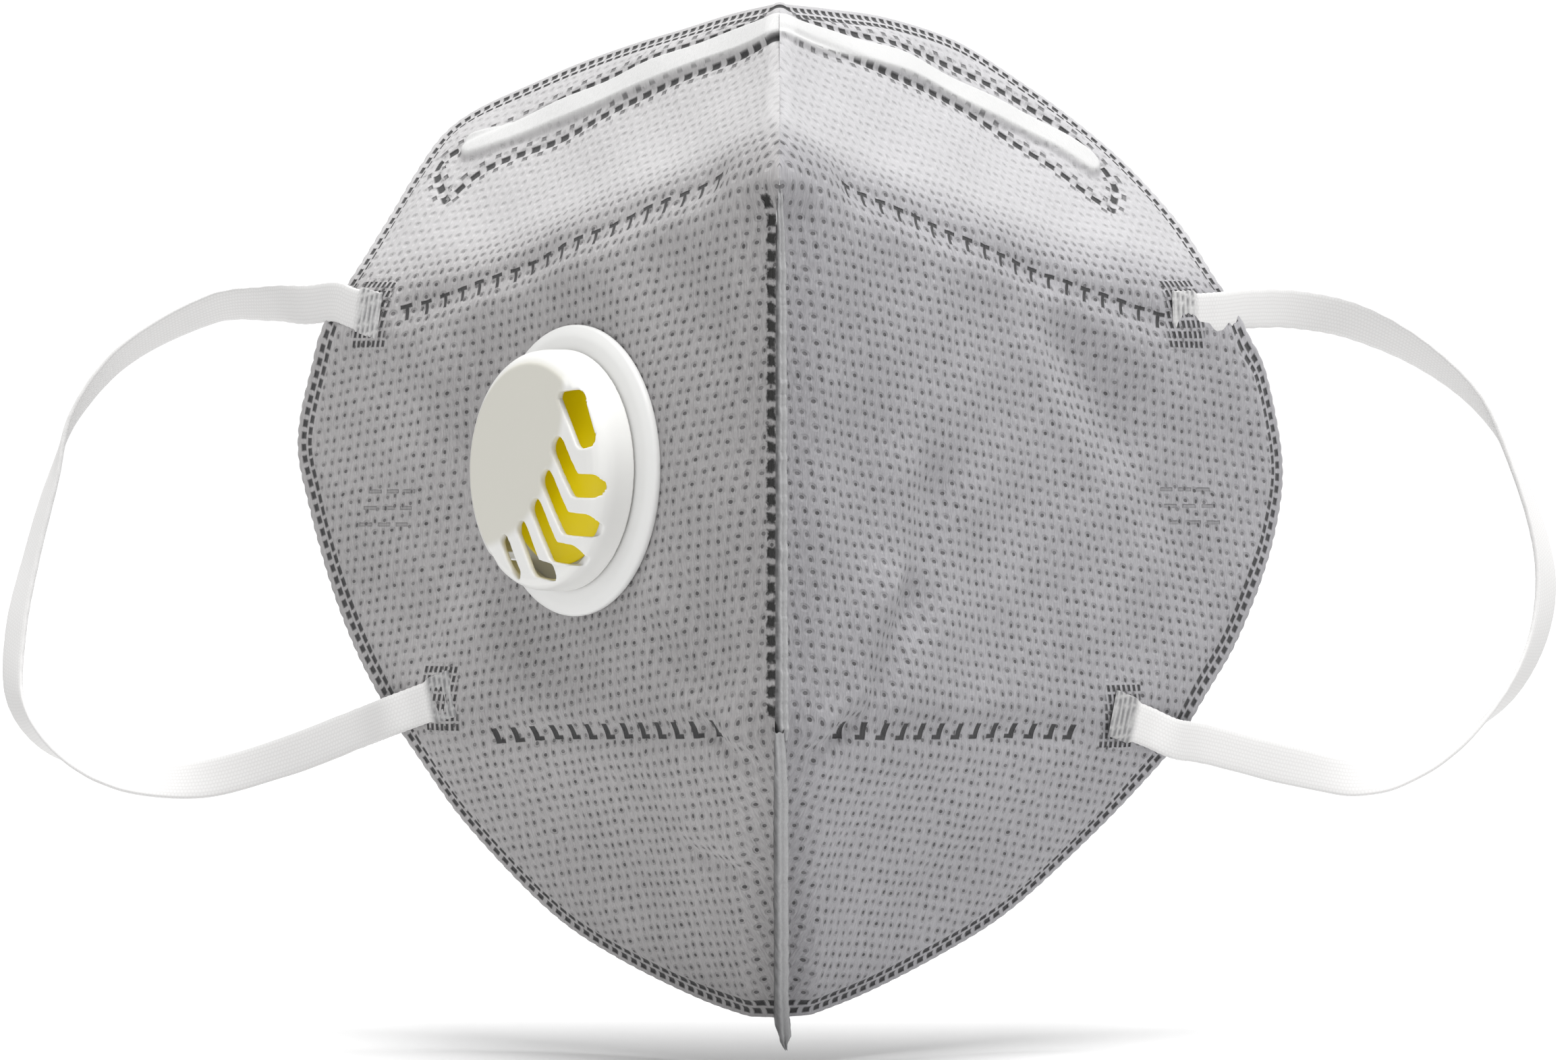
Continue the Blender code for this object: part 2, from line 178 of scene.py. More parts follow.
def curve_through(points, steps):
    """A Catmull-Rom curve through the points, as an array."""
    points = np.array(points, float)
    ends = np.vstack([2 * points[0] - points[1], points, 2 * points[-1] - points[-2]])
    t = (np.arange(steps) / steps)[:, None]
    parts = []
    for a, b, c, d in zip(ends, ends[1:], ends[2:], ends[3:]):
        parts.append(
            0.5 * (2 * b + (c - a) * t + (2 * a - 5 * b + 4 * c - d) * t**2 + (3 * b - a - 3 * c + d) * t**3)
        )
    return np.vstack(parts + [points[-1:]])


def unit(vectors):
    return vectors / np.linalg.norm(vectors, axis=-1, keepdims=True)


def directions(line):
    return unit(np.gradient(line, axis=0))


def lengths(line):
    return np.concatenate([[0], np.cumsum(np.linalg.norm(np.diff(line, axis=0), axis=1))])


def at(line, distance):
    """The points at these distances along a line."""
    run = lengths(line)
    return np.stack([np.interp(distance, run, line[:, k]) for k in range(line.shape[1])], axis=-1)


def bend_table(angle, soft):
    x = np.linspace(-soft, soft, 201)
    turn = angle * smoothstep((x + soft) / (2 * soft))
    step = x[1] - x[0]
    along = np.concatenate([[0], np.cumsum((np.cos(turn[1:]) + np.cos(turn[:-1])) * step / 2)]) - soft
    inward = np.concatenate([[0], np.cumsum((np.sin(turn[1:]) + np.sin(turn[:-1])) * step / 2)])
    return x, turn, along, inward, angle, soft


NOSE_TABLE = bend_table(NOSE_BEND, NOSE_SOFT)
CHIN_TABLE = bend_table(CHIN_BEND, CHIN_SOFT)


def bend(d, table):
    """How far along and inward a point past a soft crease lies, and the angle turned there."""
    x, turn, along, inward, angle, soft = table
    past = np.maximum(d - soft, 0)
    reached = np.interp(d, x, along) + np.minimum(d + soft, 0) + past * math.cos(angle)
    return reached, np.interp(d, x, inward) + past * math.sin(angle), np.interp(d, x, turn)


def flare(u):
    """How far the panel bows in from the flat plate, in mm."""
    share = np.clip(u / FLARE_REACH, 0, 1)
    return -math.tan(FLARE) * np.maximum(u, 0) * (1 - share**2)


def valve_lean(u, v):
    """How far the stiff valve tips the fabric round it, in mm: up beside the seam and down beyond."""
    across = u - VALVE_PLACE[0]
    far = np.hypot(across, v - VALVE_PLACE[1])
    return -math.tan(VALVE_LEAN) * across * smoothstep((36 - far) / 15)


def base_frame(u, v):
    """The folded pattern's point and outward normal, for the left half."""
    d = u * ACROSS[0] + v * ACROSS[1]
    nose, nose_in, nose_turn = bend(d, NOSE_TABLE)
    below = -(v + SEAM_LENGTH)
    chin, chin_in, chin_turn = bend(below, CHIN_TABLE)
    point = TIP + u[..., None] * BACK + v[..., None] * UP + (nose - d)[..., None] * ACROSS_3D
    point = point - (nose_in + chin_in)[..., None] * OUT - (chin - below)[..., None] * UP
    normal = OUT * (np.cos(nose_turn) * np.cos(chin_turn))[..., None]
    normal = normal + ACROSS_3D * np.sin(nose_turn)[..., None] - UP * np.sin(chin_turn)[..., None]
    return point, unit(normal)


def fold(u, v, height):
    """Pattern places at a height above the folding plane, as points of the left half in mm."""
    u = np.asarray(u, float)
    v = np.asarray(v, float)
    point, normal = base_frame(u, v)
    return point + (height + flare(u))[..., None] * normal


def mirrored(points, side):
    return points * np.array([1 if side == "left" else -1, 1, 1])


# ---------------------------------------------------------------- meshes


def add_object(data):
    made = bpy.data.objects.new(data.name, data)
    bpy.context.scene.collection.objects.link(made)
    return made


def list_object(name, points, faces, look):
    """A mesh from lists, whose faces may have any number of corners."""
    data = bpy.data.meshes.new(name)
    data.from_pydata([tuple(p) for p in np.asarray(points) * MM], [], [tuple(f) for f in faces])
    data.validate()
    data.shade_smooth()
    return finish_mesh(data, look)


def grid_faces(rows, columns, flip=False, close_columns=False):
    r = np.arange(rows - 1)
    c = np.arange(columns if close_columns else columns - 1)
    a = (r[:, None] * columns + c[None, :]).ravel()
    b = (r[:, None] * columns + (c[None, :] + 1) % columns).ravel()
    faces = np.stack([a, b, b + columns, a + columns], axis=1)
    return faces[:, ::-1] if flip else faces


def quick_mesh(name, points, faces):
    """A mesh of quads made straight from arrays, which is much faster than lists for a fine grid."""
    data = bpy.data.meshes.new(name)
    count = len(faces)
    data.vertices.add(len(points))
    data.vertices.foreach_set("co", (points * MM).astype(np.float32).ravel())
    data.loops.add(count * 4)
    data.loops.foreach_set("vertex_index", faces.astype(np.int32).ravel())
    data.polygons.add(count)
    data.polygons.foreach_set("loop_start", np.arange(0, count * 4, 4, dtype=np.int32))
    data.update(calc_edges=True)
    data.shade_smooth()
    return data


def grid_object(name, points, side, look, places, flip=False):
    """A sheet from a rows × columns × 3 array in mm, with its places on the pattern as UV maps."""
    rows, columns = points.shape[:2]
    faces = grid_faces(rows, columns, flip=flip != (side == "right"))
    data = quick_mesh(name, mirrored(points.reshape(-1, 3), side), faces)
    for map_name, uv in places.items():
        add_places(data, map_name, uv, faces)
    return finish_mesh(data, look)


def add_places(data, map_name, uv, faces):
    layer = data.uv_layers.new(name=map_name)
    layer.data.foreach_set("uv", uv.reshape(-1, 2)[faces.ravel()].astype(np.float32).ravel())


def add_marks(data, amount):
    """Stores how marked each point is, from 0 to 1, for the material to read: weld marks on a strap, and
    painted shade on the seam fin and on the cap's plate.
    """
    colours = data.color_attributes.new("marks", "FLOAT_COLOR", "POINT")
    rgba = np.ones((amount.size, 4), np.float32)
    rgba[:, :3] = amount.reshape(-1, 1)
    colours.data.foreach_set("color", rgba.ravel())


def finish_mesh(data, look):
    data.materials.append(look)
    made = add_object(data)
    return made


# ---------------------------------------------------------------- material nodes


def math_step(operation, swapped=False):
    """A method of Value that adds one Math node."""

    def made(self, *others):
        values = (*others, self) if swapped else (self, *others)
        return self.look.math(operation, *values)

    return made


class Value:
    """A number that a material works out. Arithmetic on it adds Math nodes."""

    def __init__(self, look, socket):
        self.look = look
        self.socket = socket

    __add__ = math_step("ADD")
    __radd__ = math_step("ADD", True)
    __sub__ = math_step("SUBTRACT")
    __rsub__ = math_step("SUBTRACT", True)
    __mul__ = math_step("MULTIPLY")
    __truediv__ = math_step("DIVIDE")
    __mod__ = math_step("MODULO")
    __pow__ = math_step("POWER")
    __abs__ = math_step("ABSOLUTE")
    __round__ = math_step("ROUND")
    __floor__ = math_step("FLOOR")
    __gt__ = math_step("GREATER_THAN")
    __lt__ = math_step("LESS_THAN")
    fract = math_step("FRACT")
    sine = math_step("SINE")
    largest = math_step("MAXIMUM")

    def ramp(self, low, high, start=0.0, stop=1.0):
        made = self.look.node("ShaderNodeMapRange", interpolation_type="SMOOTHSTEP")
        for socket, number in zip(made.inputs, (self, low, high, start, stop)):
            self.look.plug(socket, number)
        return Value(self.look, made.outputs[0])


class Look:
    """A Principled material and short calls that add and join its nodes."""

    def __init__(self, name, roughness=0.8, **sockets):
        self.material = bpy.data.materials.new(name)
        self.material.use_nodes = True
        self.tree = self.material.node_tree
        self.shader = self.tree.nodes["Principled BSDF"]
        self.shader.inputs["Roughness"].default_value = roughness
        for socket, value in sockets.items():
            self.plug(self.shader.inputs[socket.replace("_", " ")], value)

    def node(self, kind, **settings):
        made = self.tree.nodes.new(kind)
        for key, value in settings.items():
            setattr(made, key, value)
        return made

    def plug(self, socket, value):
        value = getattr(value, "socket", value)
        if hasattr(value, "links"):
            self.tree.links.new(value, socket)
        elif socket.type == "RGBA":
            socket.default_value = (*value, 1)
        else:
            socket.default_value = value

    def math(self, operation, *values):
        made = self.node("ShaderNodeMath", operation=operation)
        for socket, value in zip(made.inputs, values):
            self.plug(socket, value)
        return Value(self, made.outputs[0])

    def mix(self, factor, a, b, blend="MIX"):
        made = self.node("ShaderNodeMix", data_type="RGBA", blend_type=blend)
        self.plug(made.inputs["Factor"], factor)
        self.plug(made.inputs[6], a)
        self.plug(made.inputs[7], b)
        return made.outputs[2]

    def noise(self, vector, scale, detail=3.0, stretch=None, rough=0.55, turn=0.0):
        if stretch is not None:
            place = self.node("ShaderNodeMapping")
            self.plug(place.inputs["Vector"], vector)
            place.inputs["Scale"].default_value = stretch
            place.inputs["Rotation"].default_value = (0, 0, turn)
            vector = place.outputs[0]
        made = self.node("ShaderNodeTexNoise")
        self.plug(made.inputs["Vector"], vector)
        made.inputs["Scale"].default_value = scale
        made.inputs["Detail"].default_value = detail
        made.inputs["Roughness"].default_value = rough
        return Value(self, made.outputs["Fac"])

    def cells(self, vector, scale, loose=1.0, feature="F1"):
        """The distance from the middle of a Voronoi cell."""
        made = self.node("ShaderNodeTexVoronoi", feature=feature)
        self.plug(made.inputs["Vector"], vector)
        made.inputs["Scale"].default_value = scale
        made.inputs["Randomness"].default_value = loose
        return Value(self, made.outputs["Distance"])

    def bump(self, height, distance, strength=1.0, below=None):
        made = self.node("ShaderNodeBump")
        made.inputs["Strength"].default_value = strength
        made.inputs["Distance"].default_value = distance
        self.plug(made.inputs["Height"], height)
        if below is not None:
            self.plug(made.inputs["Normal"], below)
        return made.outputs[0]

    def object_place(self):
        return self.node("ShaderNodeTexCoord").outputs["Object"]

    def pattern(self):
        return self.node("ShaderNodeUVMap", uv_map="pattern").outputs[0]

    def places(self, name):
        """The two numbers of a UV map."""
        parts = self.node("ShaderNodeSeparateXYZ")
        self.plug(parts.inputs[0], self.node("ShaderNodeUVMap", uv_map=name).outputs[0])
        return Value(self, parts.outputs[0]), Value(self, parts.outputs[1])

    def marks(self):
        """How marked the mesh is, from 0 to 1."""
        parts = self.node("ShaderNodeSeparateColor")
        self.plug(parts.inputs[0], self.node("ShaderNodeVertexColor", layer_name="marks").outputs[0])
        return Value(self, parts.outputs[0])

    def joined(self, *values):
        made = self.node("ShaderNodeCombineXYZ")
        for socket, value in zip(made.inputs, values):
            self.plug(socket, value)
        return made.outputs[0]

    def finish(self, colour, normal=None, roughness=None):
        for name, value in (("Base Color", colour), ("Normal", normal), ("Roughness", roughness)):
            if value is not None:
                self.plug(self.shader.inputs[name], value)
        return self.material


def box_mask(x, y, half_x, half_y, soft=0.1):
    """1 inside a small rectangle, with slightly soft edges."""
    return (abs(x) - half_x).largest(abs(y) - half_y).ramp(soft, -soft)


def cells_of(value, pitch, first=0.0):
    """The distance from the nearest of a row of even places, and which one that is."""
    steps = (value - first) / pitch
    index = round(steps)
    return (steps - index) * pitch, index


def inside_span(value, low, high):
    return (value > low) * (value < high)


def along_line(u, v, a, b):
    """Places along and across a straight line of the pattern, and its length."""
    span = np.array(b) - np.array(a)
    length = float(np.linalg.norm(span))
    x, y = (float(n) for n in span / length)
    du, dv = u - a[0], v - a[1]
    return du * x + dv * y, dv * x - du * y, length


def press_welds(u, v, side, jitter):
    """The row of T shapes at the nose crease and the row of footed bars at the chin crease."""
    along, across, length = along_line(u, v, *MARK_LINE[side])
    across = across + jitter * 0.5
    x, index = cells_of(along, length / (MARK_COUNT - 1))
    arm = box_mask(x - 0.1, across - 0.75, 0.95, 0.24)
    stem = box_mask(x, across + 0.2, 0.26, 0.95)
    letters = arm.largest(stem) * inside_span(index, -0.5, MARK_COUNT - 0.5)
    along, across, length = along_line(u, v, *BAR_LINE[side])
    x, index = cells_of(along, length / (BAR_COUNT - 1))
    x = x + across * -0.22
    bar = box_mask(x, across, 0.5, 1.05)
    foot = box_mask(x + 0.75, across + 0.8, 0.6, 0.25)
    feet = bar.largest(foot) * inside_span(index, -0.5, BAR_COUNT - 0.5)
    return letters.largest(feet)


def row_of_holes(along, far, pitch, first, half_x, half_y):
    x, _ = cells_of(along, pitch, first)
    return box_mask(x, far, half_x, half_y, 0.16)


def hem_holes(look):
    """Two rows of square weld holes along the rim, and the hem that they lie in."""
    along, far = look.places("rim")
    outer = row_of_holes(along, far - 1.05, HEM_PITCH, 0.0, 0.5, 0.42)
    inner = row_of_holes(along, far - 2.5, HEM_PITCH, HEM_PITCH / 2, 0.6, 0.44)
    return outer.largest(inner), far.ramp(HEM_WIDTH + 0.2, HEM_WIDTH - 0.5)


def pocket_holes(look):
    """Paired dots that weld the nose strip's pocket shut, and the strip's own white band."""
    along, far = look.places("pocket")
    squares = row_of_holes(along, far, POCKET_PITCH, 0.0, 0.78, 0.55)
    dots = row_of_holes(along, far - 1.4, POCKET_PITCH, POCKET_PITCH / 2, 0.45, 0.34)
    _, band_far = look.places("strip")
    band = band_far.ramp(STRIP_HALF + 0.35, STRIP_HALF - 0.3)
    return squares.largest(dots * 0.7) * (1.0 - band), band


def patch_holes(u, v, side):
    """The dashes that the strap welds press into the cover round each strap end."""
    found = 0.0
    for place in PATCH[side].values():
        du, dv = u - place[0], v - place[1]
        zone = box_mask(du, dv, 3.6, 4.6, 0.4)
        x, _ = cells_of(du + dv * 0.25, DASH_PITCH[0])
        y, _ = cells_of(dv, DASH_PITCH[1])
        found = (box_mask(x, y, 0.24, 0.42) * zone).largest(found)
    return found


def plain_mark(u, v, side):
    """A plain press mark of short level dashes near the rim, in place of any lettering."""
    centre = PLAIN_MARK[side]
    y, row = cells_of(v - centre[1], 2.4)
    x, column = cells_of(u - centre[0] + row * 0.9, 3.6)
    return box_mask(x, y, 1.2, 0.24) * (inside_span(row, -1.5, 1.5) * inside_span(column, -1.5, 1.5))


def seam_notches(look, u, v):
    """Square weld notches beside the seam, with ragged edges."""
    uv = look.pattern()
    y, _ = cells_of(v, SEAM_PITCH)
    ragged = look.noise(uv, 0.9, 4.0, rough=0.7) - 0.5
    uneven = look.noise(uv, 0.35, 2.0) - 0.5
    notch = box_mask(u + 0.1 + ragged * 1.5, y + ragged + uneven * 1.2, 0.72, 0.68, 0.28)
    return notch * inside_span(v, 2 - SEAM_LENGTH, -1.0)


def pit_lattice(look, u, v, warp):
    """The embossed pits of the cover: rows that fall outward, each pit upright or lying in turn."""
    x = u * math.cos(PIT_TILT) + v * -math.sin(PIT_TILT) + warp[0] * 0.6
    y = u * math.sin(PIT_TILT) + v * math.cos(PIT_TILT) + warp[1] * 0.6
    rows = y / PIT_ROW
    row = math.floor(rows)
    cells = x / PIT_PITCH + row * PIT_SHIFT
    cell = math.floor(cells)
    chance = look.node("ShaderNodeTexWhiteNoise", noise_dimensions="2D")
    look.plug(chance.inputs["Vector"], look.joined(cell, row))
    shake = look.node("ShaderNodeSeparateColor")
    look.plug(shake.inputs[0], chance.outputs["Color"])
    middle_x, middle_y = (0.42 + Value(look, socket) * 0.16 for socket in shake.outputs[:2])
    in_x = (cells.fract() - middle_x) * PIT_PITCH
    in_y = (rows.fract() - middle_y) * PIT_ROW
    lying = (cell + 4000.0) % 2.0 > 0.5
    in_x = in_x + in_y * 0.18
    far_x = abs(in_x) / (0.20 + lying * 0.11)
    far_y = abs(in_y) / (0.29 - lying * 0.05)
    spread = far_x**2.0 + far_y**2.0
    depth = 0.55 + Value(look, chance.outputs["Value"]) * 0.45
    return spread.ramp(1.5, 0.5) * depth, spread.ramp(6.5, 0.3) * depth


def cover_look(name, side, tint_and_painted_light):
    """Grey non-woven: embossed pits, crossing fibres, and every weld that is pressed into it, with painted
    light and shade on the nose, chin, seam side and in the pits.
    """
    look = Look(name, roughness=0.86, Sheen_Weight=0.1, Sheen_Roughness=0.5, Specular_IOR_Level=0.25)
    uv = look.pattern()
    u, v = look.places("pattern")
    warp_x = look.noise(uv, 0.35, 1.0) - 0.5
    warp_y = look.noise(uv, 0.27, 1.0, stretch=(1.3, 0.8, 1)) - 0.5
    hem, hem_zone = hem_holes(look)
    pocket, band = pocket_holes(look)
    plain = 1.0 - hem_zone.largest(band)
    core, bowl = (pits * plain for pits in pit_lattice(look, u, v, (warp_x, warp_y)))
    notches = seam_notches(look, u, v) if side == "left" else 0.0
    welds = press_welds(u, v, side, warp_x)
    for holes in (hem, pocket, patch_holes(u, v, side), notches):
        welds = welds.largest(holes)
    mark = plain_mark(u, v, side)
    fibres = look.noise(uv, 1.15, 6.0, stretch=(3.2, 0.5, 1), rough=0.72, turn=math.radians(-26))
    strands = look.noise(uv, 1.5, 5.0, stretch=(3.0, 0.4, 1), rough=0.72, turn=math.radians(33))
    cloud = look.noise(uv, 0.05, 3.0)
    value = 0.20 + fibres * 0.95 + strands * 0.65 + (cloud - 0.5) * 0.3
    # Painted light and shade: the chin below the bar welds is painted lighter, and the cheek darker towards
    # the seam, for how the light falls on them.
    value = value + v.ramp(-72.0, -80.0) * 0.1 + u.ramp(40.0, 0.0) * -0.09
    colour = look.mix(1.0, tint_and_painted_light, look.joined(value, value, value), "MULTIPLY")
    nose = (v + u * 0.176).ramp(2.0, 11.0)
    layers = [
        # Painted light: the nose facet, which faces the top light, is painted lighter.
        (nose * 0.42, (0.62, 0.615, 0.62)),
        (band * 0.8, (0.62, 0.62, 0.615)),
        # Painted shade: the pits are painted near black for the shade in their hollows, less on the nose
        # where more light falls.
        (core * (0.92 - nose * 0.80), (0.05, 0.048, 0.05)),
        (welds * 0.94, (0.022, 0.022, 0.023)),
        (notches * 0.95, (0.012, 0.012, 0.011)),
        (mark * 0.35, (0.08, 0.08, 0.08)),
    ]
    for share, paint in layers:
        colour = look.mix(share, colour, paint)
    fuzz = look.bump(fibres + strands, 0.0002, 0.75)
    sunk = (bowl * 0.55 + core * 0.45) * (1.0 - nose * 0.55)
    sunk = sunk.largest(welds.largest(mark * 0.6))
    return look.finish(colour, look.bump(1.0 - sunk, 0.0005, 1.0, fuzz))


def shaded(colour, share):
    return tuple(share * c for c in colour)


def soft_sheet_look(name, colour, scale):
    """White non-woven: long fibres in two directions and a fine point bond."""
    look = Look(name, roughness=0.9, Sheen_Weight=0.15, Specular_IOR_Level=0.25)
    uv = look.pattern()
    long_fibres = look.noise(uv, 1.1 * scale, 5.0, stretch=(2.8, 0.5, 1), rough=0.65, turn=0.5)
    cross = look.noise(uv, 1.3 * scale, 5.0, stretch=(0.5, 2.4, 1), rough=0.65, turn=0.3)
    dots = look.cells(uv, 1.25, 0.12).ramp(0.30, 0.18)
    both = long_fibres + cross
    base = look.mix(both.ramp(0.7, 1.3), shaded(colour, 0.86), colour)
    base = look.mix(dots * 0.35, base, shaded(colour, 0.6))
    return look.finish(base, look.bump(both - dots, 0.00012, 0.6))


def plastic_look(name, colour, plate=None):
    """Satin moulded plastic. With a plate colour, it paints the cap's flat plate, read from the marks, in
    that darker colour: painted shade on a plate of the same plastic that faces away from the light.
    """
    look = Look(name, roughness=0.36)
    place = look.object_place()
    base = look.mix(look.noise(place, 60.0, 2.0), shaded(colour, 0.965), colour)
    if plate:
        base = look.mix(look.marks(), base, plate)
    roughness = look.noise(place, 240.0, 3.0).ramp(0.3, 0.7, 0.30, 0.42)
    return look.finish(base, look.bump(look.noise(place, 900.0, 3.0), 0.00003, 0.25), roughness)


def rubber_look():
    # Painted light: the rubber glows faintly yellow, so the disc stays bright down in the shaded slots.
    look = Look("diaphragm_rubber", roughness=0.45, Emission_Strength=0.3, Emission_Color=(0.62, 0.48, 0.0))
    place = look.object_place()
    base = look.mix(look.noise(place, 90.0, 3.0), (0.66, 0.53, 0.0), (0.74, 0.60, 0.002))
    roughness = look.noise(place, 400.0, 2.0).ramp(0.3, 0.7, 0.38, 0.5)
    return look.finish(base, look.bump(look.noise(place, 700.0, 2.0), 0.00003, 0.3), roughness)


def elastic_look():
    """Flat knitted elastic: ribs along the strap, and courses of stitches across it."""
    look = Look("ear_elastic", roughness=0.9, Sheen_Weight=0.05, Sheen_Roughness=0.5, Specular_IOR_Level=0.15)
    uv = look.pattern()
    along, across = look.places("pattern")
    across = across + (look.noise(uv, 0.8, 2.0) - 0.5) * 0.25
    rib = abs((across * (math.pi / STITCH)).sine())
    shift = (math.floor(across / STITCH) + 400.0) % 2.0 * 0.5
    stitch = abs(((along / STITCH + shift) * math.pi).sine())
    cloth = rib**0.5 * stitch**0.45
    fuzz = look.noise(uv, 6.0, 4.0)
    base = look.mix(cloth, (0.56, 0.553, 0.548), (0.66, 0.655, 0.65))
    base = look.mix(fuzz * 0.3, base, (0.71, 0.705, 0.70))
    base = look.mix(look.marks() * 0.85, base, (0.12, 0.12, 0.125))
    return look.finish(base, look.bump(cloth * 0.6 + fuzz * 0.5, 0.00005, 0.15))


def weld_look():
    """The welded flange: fused fabric, darkened and glazed where marked; the dark down its two side edges and
    in its groove is painted shade.
    """
    look = Look("weld_seam", roughness=0.6, Specular_IOR_Level=0.35)
    marks = look.marks()
    fibres = look.noise(look.pattern(), 2.2, 5.0, stretch=(1, 2.2, 1), rough=0.7)
    base = look.mix(fibres, (0.29, 0.29, 0.295), (0.48, 0.48, 0.485))
    # Painted shade: the marked side edges and groove of the fin are painted near black.
    base = look.mix(marks * 0.9, base, (0.04, 0.04, 0.042))
    return look.finish(base, look.bump(fibres, 0.00015, 0.6), marks.ramp(0.2, 0.9, 0.75, 0.4))


def foam_look():
    look = Look("nose_foam", roughness=0.92, Specular_IOR_Level=0.2)
    pores = look.cells(look.object_place(), 2400.0, feature="SMOOTH_F1")
    base = look.mix(pores.ramp(0.1, 0.7), (0.34, 0.34, 0.345), (0.66, 0.66, 0.67))
    return look.finish(base, look.bump(pores, 0.0002, 0.7))


def strip_look():
    look = Look("nose_strip", roughness=0.4)
    place = look.object_place()
    base = look.mix(look.noise(place, 300.0, 3.0), (0.72, 0.72, 0.71), (0.82, 0.82, 0.815))
    return look.finish(base, look.bump(look.noise(place, 1500.0, 2.0), 0.00003, 0.3))


# ---------------------------------------------------------------- the fabric of one half


def front_line():
    ridge = np.array(RIDGE_DIRECTION) * RIDGE_LENGTH
    kink = np.array([0.0, -SEAM_LENGTH])
    chin = kink + np.array(CHIN_DIRECTION) * CHIN_LENGTH
    return ridge, kink, chin


def rim_line(side):
    ridge, _, chin = front_line()
    return curve_through([tuple(ridge), *RIM[side], tuple(chin)], 8)


def rows_of(side, spacing, part):
    """Front and rim ends of the rows of one part of a half, the nose and upper cheek, or the rest."""
    ridge, kink, chin = front_line()
    rim = rim_line(side)
    run = lengths(rim)
    crease = run[np.argmin(np.abs(rim[:, 1] + 17.5) + 100 * (rim[:, 0] < 60))]
    chin_crease = run[np.argmin(np.abs(rim[:, 1] + SEAM_LENGTH) + 100 * (rim[:, 0] < 60))]
    tip = np.zeros(2)
    middle = (tip + kink) / 2
    half_way = (crease + chin_crease) / 2
    if part == "upper":
        spans = [(ridge, tip, 0.0, crease), (tip, middle, crease, half_way)]
    else:
        spans = [(middle, kink, half_way, chin_crease), (kink, chin, chin_crease, run[-1])]
    fronts, rims = [], []
    for i, (start, end, low, high) in enumerate(spans):
        count = int(max(np.linalg.norm(end - start), high - low) / spacing)
        share = np.linspace(0, 1, count + 1)[(1 if i else 0):, None]
        fronts.append(start + share * (end - start))
        rims.append(at(rim, (low + share * (high - low))[:, 0]))
    return np.vstack(fronts), np.vstack(rims)


def near_line(u, v, a, b):
    """Distance from a straight line's span, and the distance along it, in mm."""
    a = np.array(a, float)
    b = np.array(b, float)
    span = b - a
    length = np.linalg.norm(span)
    along = ((u - a[0]) * span[0] + (v - a[1]) * span[1]) / length
    inside = np.clip(along, 0, length)
    far = np.hypot(u - a[0] - span[0] * inside / length, v - a[1] - span[1] * inside / length)
    across = ((u - a[0]) * -span[1] + (v - a[1]) * span[0]) / length
    return far, along, across, length


def near_curve(u, v, line):
    """Distance from a curve and the distance along it of the nearest place, in mm."""
    best = np.full(u.shape, 1e9)
    along = np.zeros(u.shape)
    run = lengths(line)
    for i, (a, b) in enumerate(zip(line, line[1:])):
        span = b - a
        size = span @ span
        t = np.clip(((u - a[0]) * span[0] + (v - a[1]) * span[1]) / size, 0, 1)
        far = np.hypot(u - a[0] - span[0] * t, v - a[1] - span[1] * t)
        closer = far < best
        best = np.where(closer, far, best)
        along = np.where(closer, run[i] + t * math.sqrt(size), along)
    return best, along


def box_mark(x, y, half_x, half_y, soft=0.22):
    """1 inside a small rectangle, falling off softly outside it."""
    gap = np.maximum(np.abs(x) - half_x, np.abs(y) - half_y)
    return smoothstep(0.5 - gap / (2 * soft))


def cell_centred(along, pitch, first=0.0):
    shifted = (along - first) / pitch
    index = np.round(shifted)
    return (shifted - index) * pitch, index


def weld_dips(u, v, side):
    """The shallow troughs that the two rows of press welds lie in, from 0 to 1."""
    dips = []
    for line, half in ((MARK_LINE[side], 2.3), (BAR_LINE[side], 2.1)):
        _, along, across, length = near_line(u, v, *line)
        fade = smoothstep((along + 5) / 6) * smoothstep((length + 5 - along) / 6)
        dips.append(np.exp(-((across / half) ** 2)) * fade)
    return dips


def pocket_welds(u, v, side):
    """Distance from the nearer of the strip pocket's two dotted welds, and the distance along it."""
    (low, low_run), (high, high_run) = (near_curve(u, v, curve_through(line, 5)) for line in POCKET[side])
    return np.minimum(low, high), np.where(low < high, low_run, high_run)


